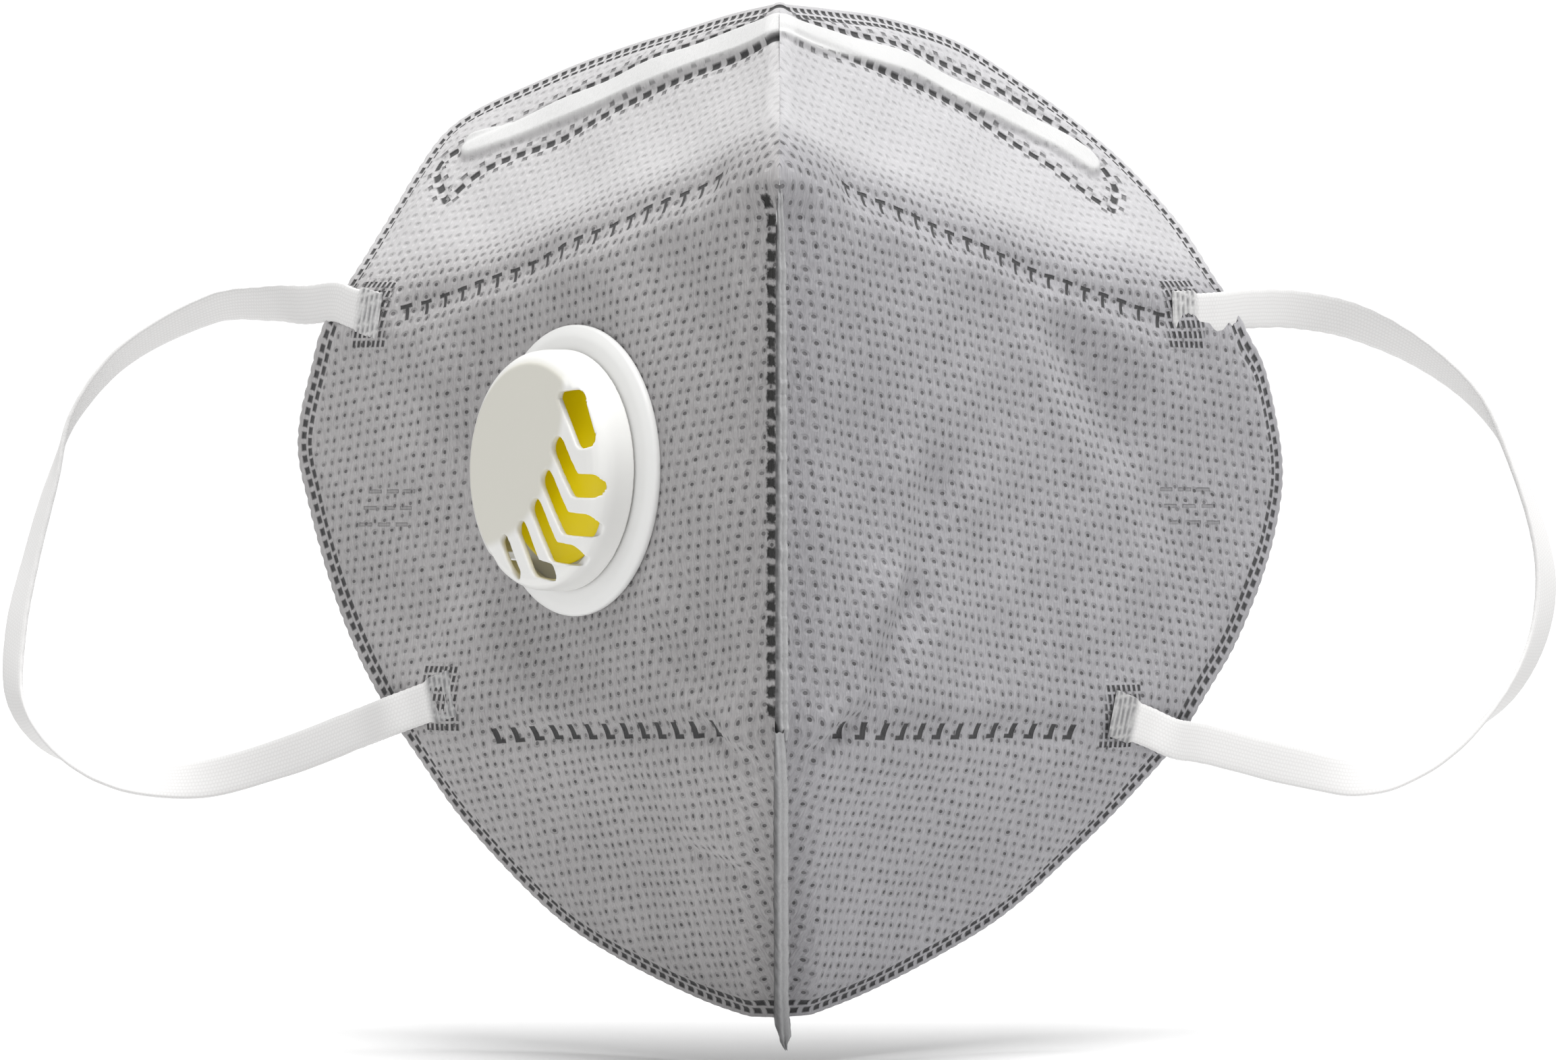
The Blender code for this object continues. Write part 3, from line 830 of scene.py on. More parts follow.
class Cloth:
    """The numbers of one half's part that every layer of it shares."""

    def __init__(self, side, part, spacing, columns, inset=0.0):
        self.side = side
        self.part = part
        front, rim = rows_of(side, spacing, part)
        reach = rim - front
        size = np.linalg.norm(reach, axis=1, keepdims=True)
        unit = reach / np.maximum(size, 1e-6)
        share = np.linspace(0, 1, columns)
        share = share + 0.06 * np.sin(2 * math.pi * share) / (2 * math.pi)
        usable = np.maximum(size - inset, size * 0.5)
        place = front[:, None, :] + share[None, :, None] * (unit * usable)[:, None, :]
        self.front, self.unit = front, unit
        self.u, self.v = place[..., 0], place[..., 1]
        self.share = np.broadcast_to(share, self.u.shape)
        self.rim_far, self.rim_along = near_curve(self.u, self.v, rim_line(side))

    def dip(self):
        """Large soft shapes of the laminate: weld troughs, folds and the tilt under the valve."""
        u, v, side = self.u, self.v, self.side
        marks, bars = weld_dips(u, v, side)
        rise = -0.95 * marks - 0.8 * bars
        for a, b, width, depth in CREASES[side]:
            far, along, _, length = near_line(u, v, a, b)
            fade = smoothstep((along / width + 1) / 2) * smoothstep(((length - along) / width + 1) / 2)
            rise = rise + depth * fade * np.exp(-((far / width) ** 2))
        waves = np.sin(u * 0.115 + v * 0.05 + (1 if side == "left" else 2.4))
        waves = waves * np.sin(v * 0.085 - u * 0.03 + (0.4 if side == "left" else 1.7))
        waves = waves + 0.35 * np.sin(u * 0.31 - v * 0.12) * np.sin(v * 0.27 + u * 0.08)
        calm = smoothstep(u / 12) * smoothstep(self.rim_far / 8)
        lean = 0
        if side == "left":
            off_valve = np.hypot(u - VALVE_PLACE[0], v - VALVE_PLACE[1])
            calm = calm * smoothstep((off_valve - 20) / 7)
            rise = rise * smoothstep((off_valve - 20) / 4)
            lean = valve_lean(u, v)
        puff = 0.4 * smoothstep(self.rim_far / 4) * smoothstep(1.6 - self.rim_far / 12)
        return rise * smoothstep(self.rim_far / 3) + 0.6 * waves * calm + puff * calm + lean

    def pinched(self, height, level):
        """The height, brought down to the fused layers where the two halves are welded together."""
        fused = 1.1 + level
        from_seam = np.hypot(self.u - self.front[:, :1], self.v - self.front[:, 1:])
        weld = smoothstep((0.5 - self.front[:, 1:]) / 5) * (1 - smoothstep(from_seam / 6.5))
        return height + (fused - height) * weld

    def thickness(self):
        return HEM_THICKNESS + (FULL_THICKNESS - HEM_THICKNESS) * smoothstep((self.rim_far - 0.6) / HEM_WIDTH)

    def extension(self, height, columns):
        """The strip from the front line to the middle plane: round at the ridge, straight into the weld."""
        u, v = self.front[:, 0], self.front[:, 1]
        point, normal = base_frame(u, v)
        across = unit(np.cross(normal, directions(point)))
        across *= np.sign(across[:, :1])
        lift = np.broadcast_to(height + flare(u), u.shape)[:, None]
        weld = smoothstep((0.5 - v) / 5)[:, None]
        limit = np.arctan2(-normal[:, :1], across[:, :1])
        straight = (-FLANGE_HALF - point[:, :1] - lift * normal[:, :1]) / across[:, :1]
        rows = []
        for t in np.linspace(1, 0, columns, endpoint=False):
            turned = point + lift * (normal * np.cos(t * limit) + across * np.sin(t * limit))
            turned[:, 0] -= t * turned_end(point, normal, across, lift, limit)
            flat = point + lift * normal + t * straight * across
            rows.append(turned * (1 - weld) + flat * weld)
        return np.stack(rows, axis=1)


def turned_end(point, normal, across, lift, limit):
    """How far off the middle plane the rounded ridge would end."""
    end = point + lift * (normal * np.cos(limit) + across * np.sin(limit))
    return end[:, 0]


# The cover's row spacing in mm and its columns, then the columns in front of and behind them.
COVER_GRID = (0.42, 236)
FRONT_COLUMNS = 9
WRAP_COLUMNS = 5


def with_front(cloth, surface, height, uv):
    """Adds the strip in front of the front line, with pattern places carried on."""
    strip = cloth.extension(height, FRONT_COLUMNS)
    gaps = np.linalg.norm(np.diff(np.concatenate([strip, surface[:, :1]], axis=1), axis=1), axis=2)
    back = -np.cumsum(gaps[:, ::-1], axis=1)[:, ::-1]
    strip_uv = cloth.front[:, None, :] + back[..., None] * cloth.unit[:, None, :]
    return np.concatenate([strip, surface], axis=1), np.concatenate([strip_uv, uv], axis=1)


def cover(side, part, look):
    """The outer cover of one part, with its troughs, raised strip pocket, hem and rim."""
    cloth = Cloth(side, part, *COVER_GRID)
    u, v = cloth.u, cloth.v
    far, run = near_curve(u, v, curve_through(STRIP_LINE[side], 6))
    weld_far, weld_run = pocket_welds(u, v, side)
    height = MIDDLE + cloth.thickness() / 2 + cloth.dip()
    if part == "upper":
        height = height + 0.9 * smoothstep((STRIP_HALF + 0.8 - far) / 1.3)
        height = height - 0.35 * np.exp(-((weld_far / 0.7) ** 2))
    height = height - 0.18 * np.exp(-(((cloth.rim_far - 2.45) / 0.45) ** 2))
    height = height - 0.12 * np.exp(-(((cloth.rim_far - 1.05) / 0.4) ** 2))
    height = cloth.pinched(height, 0.5)
    surface = fold(u, v, height)
    wrap, wrap_uv = rim_wrap(cloth, height[:, -1])
    places = {
        "pattern": np.stack([u, v], axis=-1),
        "rim": np.stack([cloth.rim_along, cloth.rim_far], axis=-1),
        "strip": np.stack([run, far], axis=-1),
        "pocket": np.stack([weld_run, weld_far], axis=-1),
    }
    surface, front_uv = with_front(cloth, surface, height[:, 0], places["pattern"])
    surface = np.concatenate([surface, wrap], axis=1)
    for name, uv in places.items():
        first, last = np.repeat(uv[:, :1], FRONT_COLUMNS, axis=1), np.repeat(uv[:, -1:], WRAP_COLUMNS, axis=1)
        if name == "pattern":
            first, last = front_uv[:, :FRONT_COLUMNS], wrap_uv
        places[name] = np.concatenate([first, uv, last], axis=1)
    return grid_object(f"cover_{part}_{side}", surface, side, look, places)


def rim_wrap(cloth, edge_height):
    """Columns that turn the cover round the rim to its back."""
    radius = HEM_THICKNESS / 2
    columns, places = [], []
    scallop = 0.3 * np.abs(np.sin(cloth.rim_along[:, -1] * math.pi / HEM_PITCH))[:, None]
    for turn in np.linspace(0.3, 1, WRAP_COLUMNS) * math.pi:
        out = (radius + scallop) * math.sin(turn)
        place = np.stack([cloth.u[:, -1], cloth.v[:, -1]], axis=-1) + out * cloth.unit
        level = edge_height - radius + radius * math.cos(turn)
        columns.append(fold(place[:, 0], place[:, 1], level))
        places.append(place)
    return np.stack(columns, axis=1), np.stack(places, axis=1)


def plain_layer(layer, side, part, level, look, spacing, columns, inset, flip):
    """A liner or filter: the level is its place in the laminate, as a share of the thickness."""
    cloth = Cloth(side, part, spacing, columns, inset)
    height = MIDDLE + level * cloth.thickness() + cloth.dip() * 0.9
    height = cloth.pinched(height, level)
    surface = fold(cloth.u, cloth.v, height)
    uv = np.stack([cloth.u, cloth.v], axis=-1)
    surface, uv = with_front(cloth, surface, height[:, 0], uv)
    return grid_object(f"{layer}_{part}_{side}", surface, side, look, {"pattern": uv}, flip)


def crease_blend(made, part):
    """Works out a crease between the cheek body and the nose or chin body, which nothing uses, and bakes the
    piece's transform into its mesh.
    """
    reach, height = 5.0, 2.6
    if part == "upper":
        far, near = CREASE * 45 + ACROSS * reach, CREASE * 45 - ACROSS * reach
        crease = CREASE[0] * BACK + CREASE[1] * UP
    else:
        far, near = (35.0, -SEAM_LENGTH - reach), (35.0, -SEAM_LENGTH + reach)
        crease = BACK
    start = fold(*far, height)
    span = fold(*near, height) - start
    span = span - (span @ crease) * crease
    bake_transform(made)


def build_fabric(side, looks):
    nodes = {"upper": ("nose", "cheek"), "lower": ("chin",)}
    for part in ("upper", "lower"):
        outer = cover(side, part, looks[f"cover_{side}"])
        liner = plain_layer("liner", side, part, -0.5, looks["liner"], 0.8, 124, 0.0, True)
        media = plain_layer("filter", side, part, -0.05, looks["filter"], 1.6, 62, 3.4, False)
        for made, layer in ((outer, "outer"), (liner, "liner"), (media, "filter")):
            crease_blend(made, part)
            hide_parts(*(f"{layer}_{facet}_{side}" for facet in nodes[part]))


# ---------------------------------------------------------------- the seam


# The fin's section, across and out, as shares, and how far its edge leans over, in mm.
FIN = [(-1, -0.5), (-1, 0.3), (-1, 0.7), (-0.86, 0.94), (-0.55, 1.0), (-0.3, 0.9), (0, 0.82), (0.3, 0.9),
       (0.55, 1.0), (0.86, 0.94), (1, 0.7), (1, 0.3), (1, -0.5)]
SEAM_LEAN = 0.7


def build_seam(name, body, node, start, end, outward, look, shape, tail=0.0):
    """A thin welded fin from start to end, in mm: two fabric edges pressed together, off the seam."""
    start, end, outward = (np.array(p, float) for p in (start, end, outward))
    length = np.linalg.norm(end - start)
    rows = int(length / 0.25) + 1
    along = np.linspace(0, length, rows)
    share = along / length
    random = np.random.default_rng(7 if tail else 3)
    rough = [np.convolve(random.normal(0, 1, rows + 4), np.ones(5) / 5, "valid") for _ in range(3)]
    depth = np.interp(share, (0, 1), shape["depth"]) + 0.22 * rough[0]
    depth = depth + tail * smoothstep((share - 0.88) / 0.12)
    half = np.interp(share, (0, 0.15, 1), shape["half"]) * (1 + 0.1 * rough[1])
    if tail:
        half = half * np.clip((1 - share) * length / 2.5, 0.25, 1)
    bend_over = SEAM_LEAN * smoothstep(share * 5 + 0.2) + 0.08 * rough[2]
    ring = np.array(FIN)
    out = ring[None, :, 1] * depth[:, None]
    side = ring[None, :, 0] * half[:, None]
    side = side + bend_over[:, None] * (np.clip(out, 0, None) / max(shape["depth"])) ** 1.3
    points = start + (end - start) * share[:, None, None] + out[..., None] * outward
    points = points + side[..., None] * np.array([1.0, 0, 0])
    faces = grid_faces(rows, len(FIN), close_columns=True)
    data = quick_mesh(name, points.reshape(-1, 3), faces)
    around = np.cumsum(np.concatenate([[0], np.linalg.norm(np.diff(ring, axis=0) * (0.5, 2.4), axis=1)]))
    places = np.stack(np.broadcast_arrays(along[:, None], around[None, :]), axis=-1)
    add_places(data, "pattern", places, faces)
    # Painted shade: the marks paint a dark line down both side edges of the fin, where it meets the panels,
    # and a faint one in the groove along its top.
    edge_shadow = smoothstep((np.abs(ring[:, 0]) - 0.8) / 0.12)
    groove_shade = 0.15 * (np.abs(ring[:, 0]) < 0.1) * (ring[:, 1] > 0.6)
    add_marks(data, np.clip((edge_shadow + groove_shade)[None, :] * (0.8 + 0.35 * rough[1][:, None]), 0, 1))
    made = finish_mesh(data, look)
    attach(made, body)
    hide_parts(node)
    return made


def build_seams(look):
    kink = TIP - np.array([0, 0, SEAM_LENGTH])
    root = np.array([0.0, -1.8, 0.0])
    start, end = TIP + root, kink + root - UP
    upper = {"depth": (1.5, 2.1), "half": (0.34, 0.55, 0.66)}
    build_seam("seam_front", "spine", "centre_seam", start, end, (0, -1, 0), look, upper)
    down = np.array([0, 0.5388, -0.8425])
    outward = np.array([0, -0.8425, -0.5388])
    start = kink + outward * 1.9 - down * 2.4
    end = start + down * 52.8
    lower = {"depth": (2.0, 2.4), "half": (0.66, 0.82, 0.8)}
    build_seam("seam_chin", "chin_seam", "chin_seam", start, end, outward, look, lower, 0.8)


# ---------------------------------------------------------------- nose strip and foam


def band_object(name, side, path, half_width, low, high, rounding, look, ridges=0):
    """A strip with a rounded section that follows a path on the folded pattern."""
    line = curve_through(path, 8)
    tangent = directions(line)
    normal = np.stack([-tangent[:, 1], tangent[:, 0]], axis=1)
    angles = np.linspace(0, 2 * math.pi, 28, endpoint=False)
    power = 2 / rounding
    x = np.sign(np.cos(angles)) * np.abs(np.cos(angles)) ** power
    y = np.sign(np.sin(angles)) * np.abs(np.sin(angles)) ** power
    count = len(line)
    cap = np.minimum(np.arange(count), np.arange(count)[::-1]) / 2.0
    swell = np.sqrt(np.clip(1 - (1 - np.clip(cap, 0, 1)) ** 2, 0.04, 1))
    place = line[:, None, :] + (x * half_width)[None, :, None] * swell[:, None, None] * normal[:, None, :]
    middle = (low + high) / 2
    height = middle + (high - low) / 2 * y[None, :] * swell[:, None]
    if ridges:
        height = height + 0.12 * np.cos(x * ridges * math.pi)[None, :] * (y > 0)[None, :]
    points = fold(place[..., 0], place[..., 1], height)
    points = mirrored(points.reshape(-1, 3), side)
    flip = side == "right"
    faces = [tuple(f) for f in grid_faces(count, 28, flip=not flip, close_columns=True)]
    first = tuple(range(28))
    last = tuple(range((count - 1) * 28, count * 28))
    faces += [first if not flip else first[::-1], last[::-1] if not flip else last]
    return list_object(name, points, faces, look)


def build_nose_pieces(side, strip, foam):
    line = STRIP_LINE[side]
    wire = band_object(f"strip_{side}", side, line, 1.5, 3.35, 4.0, 6, strip, ridges=3)
    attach(wire, f"nose_{side}")
    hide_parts(f"nose_strip_{side}")
    pad = band_object(f"foam_{side}", side, FOAM_LINE, 4.4, -1.0, 1.35, 3.2, foam)
    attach(pad, f"nose_{side}")
    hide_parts(f"nose_foam_{side}")


# ---------------------------------------------------------------- ear loops


LOOP = {
    "left": [
        (-70.0, 20.8, 31.3), (-76.4, 30.4, 31.9), (-86.0, 37.0, 31.2), (-99.0, 40.5, 24.6),
        (-106.8, 41.0, 15.4), (-110.0, 40.0, 5.6), (-113.0, 38.5, -6.0), (-115.0, 36.0, -17.0),
        (-114.6, 33.0, -27.4), (-109.0, 29.5, -34.6), (-99.0, 25.5, -38.6), (-86.0, 20.5, -38.9),
        (-73.0, 15.4, -35.4), (-61.6, 8.0, -31.0),
    ],
    "right": [
        (69.6, 20.6, 30.7), (77.2, 30.6, 31.0), (86.5, 36.0, 29.4), (96.5, 39.5, 24.8),
        (105.0, 41.0, 18.0), (110.6, 41.0, 9.0), (114.6, 40.0, -2.0), (115.6, 38.5, -11.0),
        (113.4, 36.0, -20.0), (108.0, 32.5, -28.0), (98.5, 28.0, -35.0), (87.0, 22.5, -38.6),
        (75.0, 16.4, -36.6), (62.0, 8.4, -33.2),
    ],
}
# How far the strap is turned from facing the front, at each of the points above.
LOOP_TWIST = {
    "left": [0, 30, 47, 66, 84, 112, 119, 128, 124, 108, 62, 22, 4, 0],
    "right": [0, 8, 22, 52, 74, 106, 118, 128, 122, 112, 66, 24, 6, 0],
}
STRAP_HALF = 2.9
STRAP_THICK = 0.45
# The middle of each strap end's weld patch on the pattern, in mm, for the upper and the lower end.
PATCH = {
    "left": {"upper": (83.8, -15.4), "lower": (68.3, -70.2)},
    "right": {"upper": (82.3, -15.5), "lower": (69.7, -72.9)},
}


# Which way each strap end leaves its weld patch, on the pattern.
LEAVING = {
    "left": {"upper": (1.0, 0.14), "lower": (1.0, -0.26)},
    "right": {"upper": (1.0, 0.0), "lower": (1.0, -0.26)},
}
STRAP_HEIGHT = 4.4
# How far along each end its points lie, and how much they rise to clear the rim.
PATCH_REACH = {
    "upper": [(-2.6, 0.0), (1.0, 0.0), (4.5, 0.0), (8.0, 0.0)],
    "lower": [(-2.6, 0.0), (1.0, 0.0), (5.5, 0.5), (10.0, 1.8)],
}


def patch_route(side, which):
    """Places on the outer face from inside a weld patch out to the rim, in mm, for the left half."""
    centre = np.array(PATCH[side][which])
    leaving = unit(np.array(LEAVING[side][which]))
    made = []
    for reach, rise in PATCH_REACH[which]:
        made.append(fold(*(centre + leaving * reach), STRAP_HEIGHT + rise))
    return made


def strap_route(side):
    """The strap's middle line, patch to patch, in mm for the left half, and how many points lie on it."""
    flip = np.array([1 if side == "left" else -1, 1, 1])
    free = [np.array(p) * flip for p in LOOP[side]]
    start = patch_route(side, "upper")
    stop = patch_route(side, "lower")[::-1]
    return np.array(start + free + stop), len(start)


def strap_frames(side):
    """The strap's middle line, and which way its width and its outer face point, at each place."""
    route, lead = strap_route(side)
    steps = 14
    line = curve_through(route, steps)
    tangent = directions(line)
    twist = np.radians([0.0] * lead + LOOP_TWIST[side] + [0.0] * lead)
    angle = np.interp(np.arange(len(line)) / steps, np.arange(len(route)), twist)
    kernel = np.ones(11) / 11
    angle = np.convolve(np.pad(angle, 5, mode="edge"), kernel, "valid")
    plate = OUT[None, :] * np.ones((len(line), 1))
    forward = np.array([0.0, -1.0, 0.0])
    mix = smoothstep((np.arange(len(line)) / steps - lead + 0.3) / 2.2)
    mix = mix * smoothstep((len(route) - 1 - np.arange(len(line)) / steps - lead + 0.3) / 2.2)
    face = plate * (1 - mix)[:, None] + forward[None, :] * mix[:, None]
    face = unit(face - np.sum(face * tangent, axis=1, keepdims=True) * tangent)
    wide = np.cross(tangent, face)
    turned = wide * np.cos(angle)[:, None] + face * np.sin(angle)[:, None]
    return line, turned, np.cross(turned, tangent)


def strap_section():
    """The outline of a flat band with rounded edges: across and thick, as shares."""
    count = 34
    angles = np.linspace(0, 2 * math.pi, count, endpoint=False)
    x = np.sign(np.cos(angles)) * np.abs(np.cos(angles)) ** 0.55
    y = np.sign(np.sin(angles)) * np.abs(np.sin(angles)) ** 0.45
    return x, y


def build_ear_loop(side, look):
    """The strap as one band, thinner and waffled where the welds press it flat."""
    line, wide, face = strap_frames(side)
    x, y = strap_section()
    run = lengths(line)
    total = run[-1]
    edge = np.minimum(run, total - run)
    weld = smoothstep((5.4 - edge) / 1.0)
    half = STRAP_HALF + 0.5 * weld
    thick = STRAP_THICK * (1 - 0.35 * weld) * np.clip(edge / 0.5 + 0.2, 0, 1)
    scallop = 1 + 0.015 * np.sin(run * 2 * math.pi / 1.1)
    points = line[:, None, :] + (x[None, :] * (half * scallop)[:, None])[..., None] * wide[:, None, :]
    thin = y[None, :] * thick[:, None]
    dots_x, _ = cell_centred(edge, DASH_PITCH[0])
    dots_y, _ = cell_centred(x[None, :] * STRAP_HALF + 0.3 * edge[:, None], DASH_PITCH[1])
    waffle = box_mark(dots_x[:, None], dots_y, 0.24, 0.4, 0.2) * weld[:, None]
    thin = thin * (1 - 0.35 * waffle)
    points = points + thin[..., None] * face[:, None, :]
    count = len(x)
    faces = grid_faces(len(line), count, flip=side == "right", close_columns=True)
    points = mirrored(points.reshape(-1, 3), side)
    data = quick_mesh(f"strap_{side}", points, faces)
    across = np.broadcast_to(x * STRAP_HALF, (len(line), count))
    uv = np.stack([np.broadcast_to(run[:, None], across.shape), across + (y < 0) * 11], axis=-1)
    add_places(data, "pattern", uv, faces)
    lower = (np.arange(len(line)) > len(line) / 2)[:, None]
    add_marks(data, np.clip(waffle * 0.85 + (0.25 + 0.3 * lower) * weld[:, None], 0, 1))
    made = finish_mesh(data, look)
    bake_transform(made)
    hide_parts(f"ear_loop_{side}")


# ---------------------------------------------------------------- valve


def valve_matrix():
    """The valve's own frame, x towards the seam and y up, z out, lying on the bowed panel."""
    u, v = VALVE_PLACE
    step = 0.5
    slope = float(flare(u + step) - flare(u - step)) / (2 * step) - math.tan(VALVE_LEAN)
    out = unit(OUT - slope * BACK)
    towards = unit(-(BACK + slope * OUT))
    up = np.cross(out, towards)
    place = fold(u, v, 1.5) * MM
    matrix = Matrix.Identity(4)
    for k in range(3):
        matrix[k][0], matrix[k][1], matrix[k][2], matrix[k][3] = towards[k], up[k], out[k], place[k]
    return matrix


def rounded(profile, radius, closed):
    """The profile with each inner corner cut by a short arc."""
    points = [np.array(p, float) for p in profile]
    count = len(points)
    made = []
    for i, corner in enumerate(points):
        if not closed and i in (0, count - 1):
            made.append(corner)
            continue
        before, after = points[i - 1], points[(i + 1) % count]
        back, on = before - corner, after - corner
        reach = min(radius, 0.45 * np.linalg.norm(back), 0.45 * np.linalg.norm(on))
        a, b = corner + unit(back) * reach, corner + unit(on) * reach
        for t in (0, 0.25, 0.5, 0.75, 1):
            made.append((1 - t) ** 2 * a + 2 * t * (1 - t) * corner + t * t * b)
    return made


def shape_object(shape, name):
    bmesh.ops.recalc_face_normals(shape, faces=shape.faces)
    data = bpy.data.meshes.new(name)
    shape.to_mesh(data)
    shape.free()
    return add_object(data)


def turned(name, profile, steps):
    """A profile of (radius, height) in mm turned about Z, as a closed mesh."""
    closed = profile[0][0] > 0
    shape = bmesh.new()
    points = [shape.verts.new((p[0] * MM, 0, p[1] * MM)) for p in profile]
    pairs = zip(points, points[1:] + points[:1]) if closed else zip(points, points[1:])
    edges = [shape.edges.new(pair) for pair in pairs]
    sweep = {"cent": (0, 0, 0), "axis": (0, 0, 1), "angle": 2 * math.pi, "steps": steps}
    bmesh.ops.spin(shape, geom=points + edges, use_merge=True, **sweep)
    bmesh.ops.remove_doubles(shape, verts=shape.verts, dist=1e-6)
    return shape_object(shape, name)


def capsule(a, b, half, steps=9):
    """The outline of one straight stretch of a slot, with a round end at each side."""
    a, b = np.array(a, float), np.array(b, float)
    ahead = math.atan2(b[1] - a[1], b[0] - a[0])
    outline = []
    for end, turn in ((b, ahead), (a, ahead + math.pi)):
        for angle in np.linspace(turn - math.pi / 2, turn + math.pi / 2, steps):
            outline.append(end + half * np.array([math.cos(angle), math.sin(angle)]))
    return outline


def prism(name, outline, low, high):
    shape = bmesh.new()
    bottom = [shape.verts.new((p[0] * MM, p[1] * MM, low * MM)) for p in outline]
    top = [shape.verts.new((p[0] * MM, p[1] * MM, high * MM)) for p in outline]
    shape.faces.new(bottom[::-1])
    shape.faces.new(top)
    for i in range(len(outline)):
        j = (i + 1) % len(outline)
        shape.faces.new((bottom[i], bottom[j], top[j], top[i]))
    return shape_object(shape, name)


def use(made, kind, **settings):
    modifier = made.modifiers.new(kind.lower(), kind)
    for key, value in settings.items():
        setattr(modifier, key, value)
    bpy.context.view_layer.objects.active = made
    bpy.ops.object.modifier_apply(modifier=modifier.name)


def combine(made, other, operation):
    use(made, "BOOLEAN", object=other, operation=operation, solver="EXACT")
    bpy.data.objects.remove(other)


def soften(made, voxel, smooth):
    use(made, "REMESH", mode="VOXEL", voxel_size=voxel * MM, adaptivity=0.0, use_smooth_shade=True)
    use(made, "SMOOTH", iterations=smooth, factor=0.5)


# Each slot in the cap: its middle line, half its width, and how deep it is cut.
SLOTS = [
    ([(6.9, 3.0), (8.8, 0.3), (10.9, -2.2), (14.7, -2.3)], 1.6, 8.3),
    ([(4.2, -1.5), (6.3, -4.5), (8.6, -7.4), (13.2, -7.7)], 1.55, 8.3),
    ([(1.5, -5.3), (3.6, -8.4), (5.8, -11.3), (10.0, -11.8)], 1.4, 8.3),
    ([(-2.0, -8.2), (0.0, -11.3), (1.5, -13.6), (4.6, -14.1)], 1.2, 8.3),
    ([(-6.3, -9.9), (-4.6, -12.6), (-3.5, -14.2)], 0.95, 8.3),
    ([(-10.4, -12.2), (-8.6, -15.4), (-7.0, -18.6)], 0.8, 4.9),
]
TOP_SLOT = [
    (6.9, 9.9), (7.3, 10.7), (11.2, 11.0), (12.3, 10.3), (15.2, 4.4), (14.9, 3.2), (12.4, 2.8), (11.4, 3.2),
]
CAP_TOP = 10.6
ABOVE_CAP = 14
PLATE_CENTRE = (-13.2, 11.0)
PLATE_RADIUS = 22.3


def plate_outline():
    """The flat plate on the cap: a disc clipped by the cap's own round edge."""
    outline = []
    for angle in np.linspace(0, 2 * math.pi, 96, endpoint=False):
        x, y = math.cos(angle), math.sin(angle)
        start = np.array([-4.0, 4.0])
        reaches = []
        for centre, radius in ((PLATE_CENTRE, PLATE_RADIUS), ((0.0, 0.0), 14.9)):
            gap = start - np.array(centre)
            along = gap[0] * x + gap[1] * y
            reaches.append(-along + math.sqrt(along**2 - gap @ gap + radius**2))
        reach = min(reaches)
        outline.append((start[0] + reach * x, start[1] + reach * y))
    return outline


def build_cap(matrix, look):
    """The louvred cap: a round-shouldered shell with a flat plate, and slots cut through face and wall."""
    outer = rounded([(0, CAP_TOP), (16.7, CAP_TOP), (16.85, 4.5)], 3.0, False)
    inner = rounded([(15.5, 4.5), (15.4, CAP_TOP - 1.0), (0, CAP_TOP - 1.0)], 1.8, False)
    made = turned("cap", [tuple(p) for p in outer + inner], 160)
    combine(made, prism("plate", plate_outline(), CAP_TOP - 0.6, CAP_TOP + 0.14), "UNION")
    combine(made, prism("top_slot", TOP_SLOT, 8.3, ABOVE_CAP), "DIFFERENCE")
    for route, half, low in SLOTS:
        for a, b in zip(route, route[1:]):
            combine(made, prism("slot", capsule(a, b, half), low, ABOVE_CAP), "DIFFERENCE")
    soften(made, 0.2, 12)
    mark_plate_shade(made)
    place_valve(made, matrix, "valve_cap", "cheek_left", "valve_cover", look)


def mark_plate_shade(made):
    """Marks the cap's flat plate, where the cap's material paints shade, darker than the ribs and wall."""
    points = np.empty(len(made.data.vertices) * 3)
    made.data.vertices.foreach_get("co", points)
    points = points.reshape(-1, 3) / MM
    inside = PLATE_RADIUS - np.hypot(points[:, 0] - PLATE_CENTRE[0], points[:, 1] - PLATE_CENTRE[1])
    level = smoothstep((points[:, 2] - CAP_TOP + 0.5) / 0.6)
    add_marks(made.data, smoothstep((inside + 0.2) / 1.6) * level)


def place_valve(made, matrix, name, body, node, look):
    made.name = name
    made.data.name = name
    made.data.transform(matrix)
    made.data.materials.clear()
    made.data.materials.append(look)
    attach(made, body)
    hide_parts(node)
    made.data.shade_smooth()


def build_seat(matrix, look):
    """The valve body: its flange, collar, seat ring and the cross that holds the diaphragm up."""
    profile = [
        (13.6, 2.6), (13.6, -1.9), (12.2, -1.9), (12.2, 5.0), (13.4, 5.0), (13.4, 4.3), (17.2, 4.3),
        (18.9, 4.1), (20.35, 3.5), (20.35, 2.5),
    ]
    shaped = rounded(profile, 0.5, True)
    made = turned("seat", [tuple(p) for p in shaped], 160)
    for angle in (-48, 42):
        reach = 12.7
        turn = np.array([math.cos(math.radians(angle)), math.sin(math.radians(angle))])
        bar = prism("spoke", capsule(-turn * reach, turn * reach, 0.7), 3.2, 4.4)
        combine(made, bar, "UNION")
    place_valve(made, matrix, "valve_flange", "cheek_left", "valve_body", look)


def build_lock_ring(matrix, look):
    profile = [(18.5, -0.3), (18.5, -1.1), (17.9, -1.8), (13.9, -1.8), (13.9, -0.3)]
    made = turned("ring", [tuple(p) for p in rounded(profile, 0.35, True)], 144)
    for k in range(12):
        angle = k * math.pi / 6
        turn = np.array([math.cos(angle), math.sin(angle)])
        rib = prism("rib", capsule(turn * 14.6, turn * 17.6, 0.35), -2.1, -1.5)
        combine(made, rib, "UNION")
    place_valve(made, matrix, "valve_ring", "cheek_left", "valve_lock_ring", look)


def build_diaphragm(matrix, look):
    """A thin disc with a raised bead, held along one edge."""
    rim = 13.2
    top = [(0, 6.3), (5, 6.2), (9, 5.95), (12.0, 5.6), (12.7, 5.65), (rim, 5.5)]
    bottom = [(rim, 5.2), (12.7, 5.2), (9, 5.45), (5, 5.7), (0, 5.8)]
    made = turned("disc", rounded(top + bottom, 0.4, False), 128)
    place_valve(made, matrix, "valve_flap", "diaphragm", "valve_diaphragm", look)


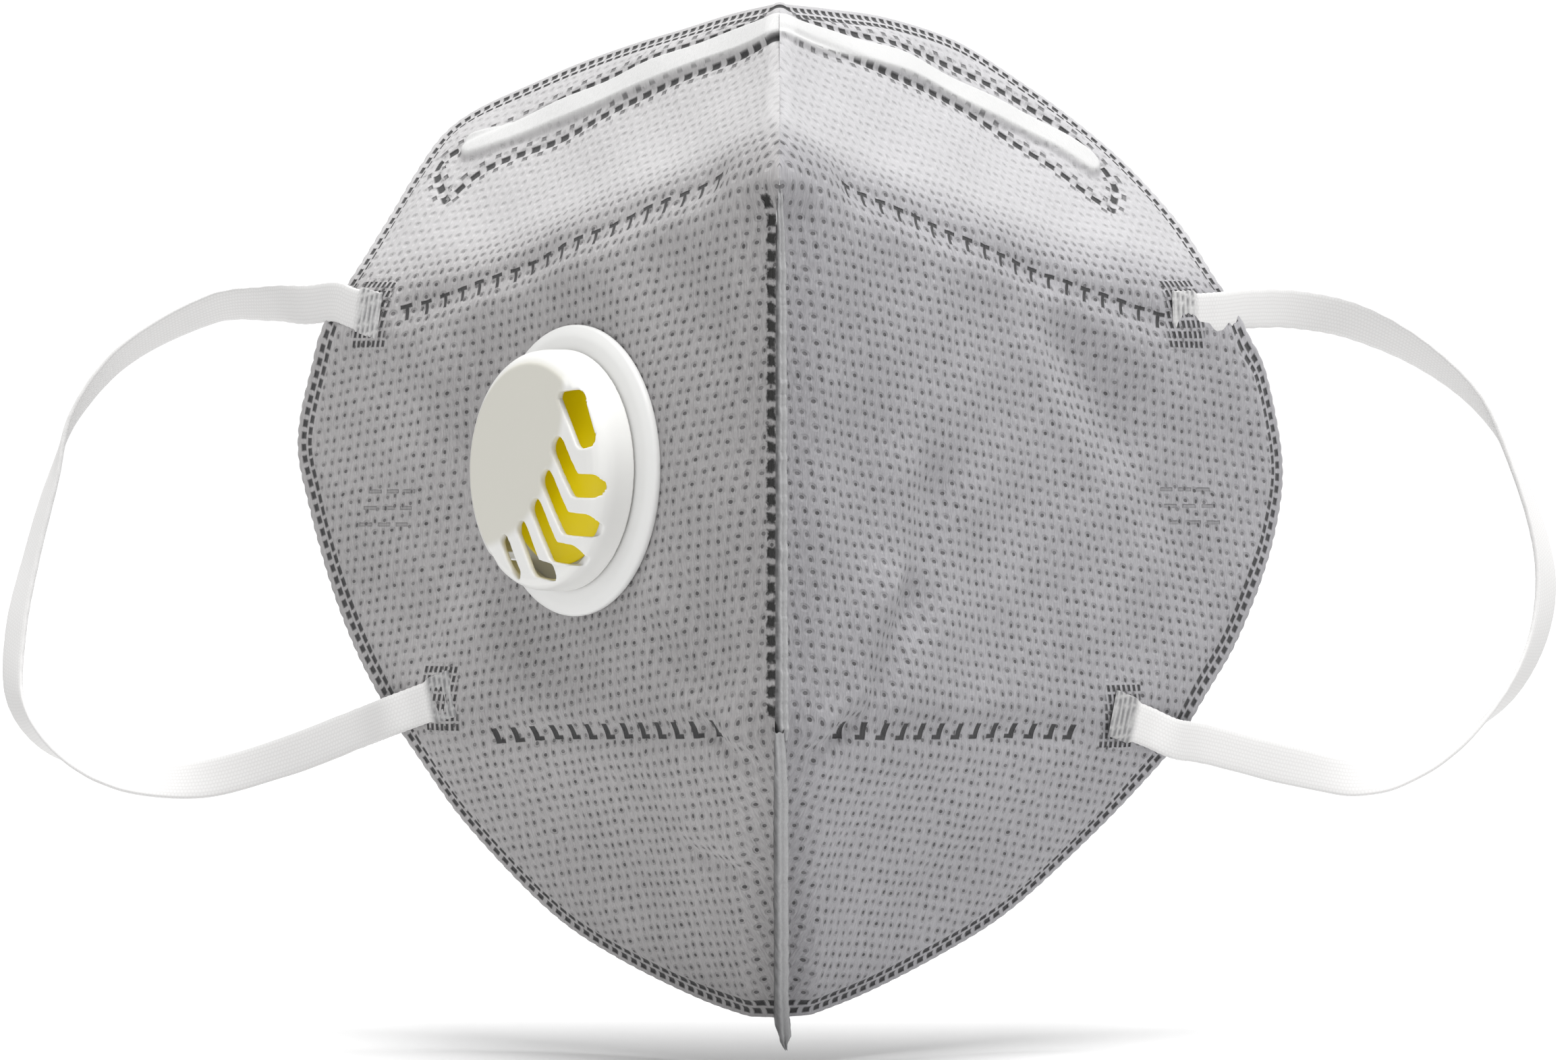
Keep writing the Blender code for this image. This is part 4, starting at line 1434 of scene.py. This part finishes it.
def build_valve():
    matrix = valve_matrix()
    plastic = plastic_look("valve_plastic", (0.69, 0.69, 0.68))
    # The second colour is painted shade for the cap's flat plate.
    build_cap(matrix, plastic_look("valve_plastic_cap", (0.70, 0.698, 0.68), (0.555, 0.545, 0.49)))
    build_seat(matrix, plastic)
    build_lock_ring(matrix, plastic)
    build_diaphragm(matrix, rubber_look())


# ---------------------------------------------------------------- stage


def build_stage():
    data = bpy.data.cameras.new("camera")
    data.lens = CAMERA_LENS
    data.clip_end = 50
    camera = add_object(data)
    camera.location = CAMERA_PLACE
    camera.rotation_euler = (math.pi / 2, 0, 0)
    scene = bpy.context.scene
    scene.camera = camera
    scene.view_settings.view_transform = "Standard"
    scene.world = studio_world()
    floor = bpy.data.meshes.new("floor")
    low = cad_low.z - 0.0006
    floor.from_pydata([(-40, -40, low), (40, -40, low), (40, 40, low), (-40, 40, low)], [], [(0, 1, 2, 3)])
    look = Look("floor", roughness=0.9)
    cloud = look.noise(look.object_place(), 3.0, 2.0)
    floor.materials.append(look.finish(look.mix(cloud, (0.66, 0.66, 0.66), (0.68, 0.68, 0.68))))
    add_object(floor)
    sun("top_light", (0.10, -0.16, 1.0), 45, 1.55)
    sun("side_light", (0.9, -0.55, 0.35), 30, 0.05)


def studio_world():
    """A white studio: pure white behind the mask, and a softer white for its light."""
    world = bpy.data.worlds.new("studio")
    world.use_nodes = True
    nodes, links = world.node_tree.nodes, world.node_tree.links
    seen = nodes.new("ShaderNodeLightPath")
    strength = nodes.new("ShaderNodeMapRange")
    strength.inputs["To Min"].default_value = 0.5
    strength.inputs["To Max"].default_value = 1.05
    links.new(seen.outputs["Is Camera Ray"], strength.inputs["Value"])
    nodes["Background"].inputs["Color"].default_value = (1, 1, 1, 1)
    links.new(strength.outputs[0], nodes["Background"].inputs["Strength"])
    return world


def sun(name, direction, spread, level):
    """Even light from one direction. The level is what a white surface facing it shines back."""
    data = bpy.data.lights.new(name, "SUN")
    data.angle = math.radians(spread)
    data.energy = level * math.pi
    add_object(data).rotation_euler = Vector(direction).to_track_quat("Z", "Y").to_euler()


# ---------------------------------------------------------------- the whole mask


def main():
    build_stage()
    elastic = elastic_look()
    for side in SIDES:
        build_ear_loop(side, elastic)
    looks = {
        # Painted light and shade: one fabric in two copies, the left painted lighter and the right darker for
        # how the light falls on each half; their tints differ slightly too.
        "cover_left": cover_look("cover_fabric_warm_painted_lighter", "left", shaded((1.0, 0.975, 0.98), 0.355)),
        "cover_right": cover_look("cover_fabric_cool_painted_darker", "right", shaded((1.0, 0.985, 1.03), 0.335)),
        "liner": soft_sheet_look("liner_fabric", (0.80, 0.80, 0.80), 1.0),
        "filter": soft_sheet_look("filter_media", (0.86, 0.86, 0.85), 0.6),
    }
    foam = foam_look()
    strip = strip_look()
    for side in SIDES:
        build_fabric(side, looks)
        build_nose_pieces(side, strip, foam)
    build_seams(weld_look())
    build_valve()


main()
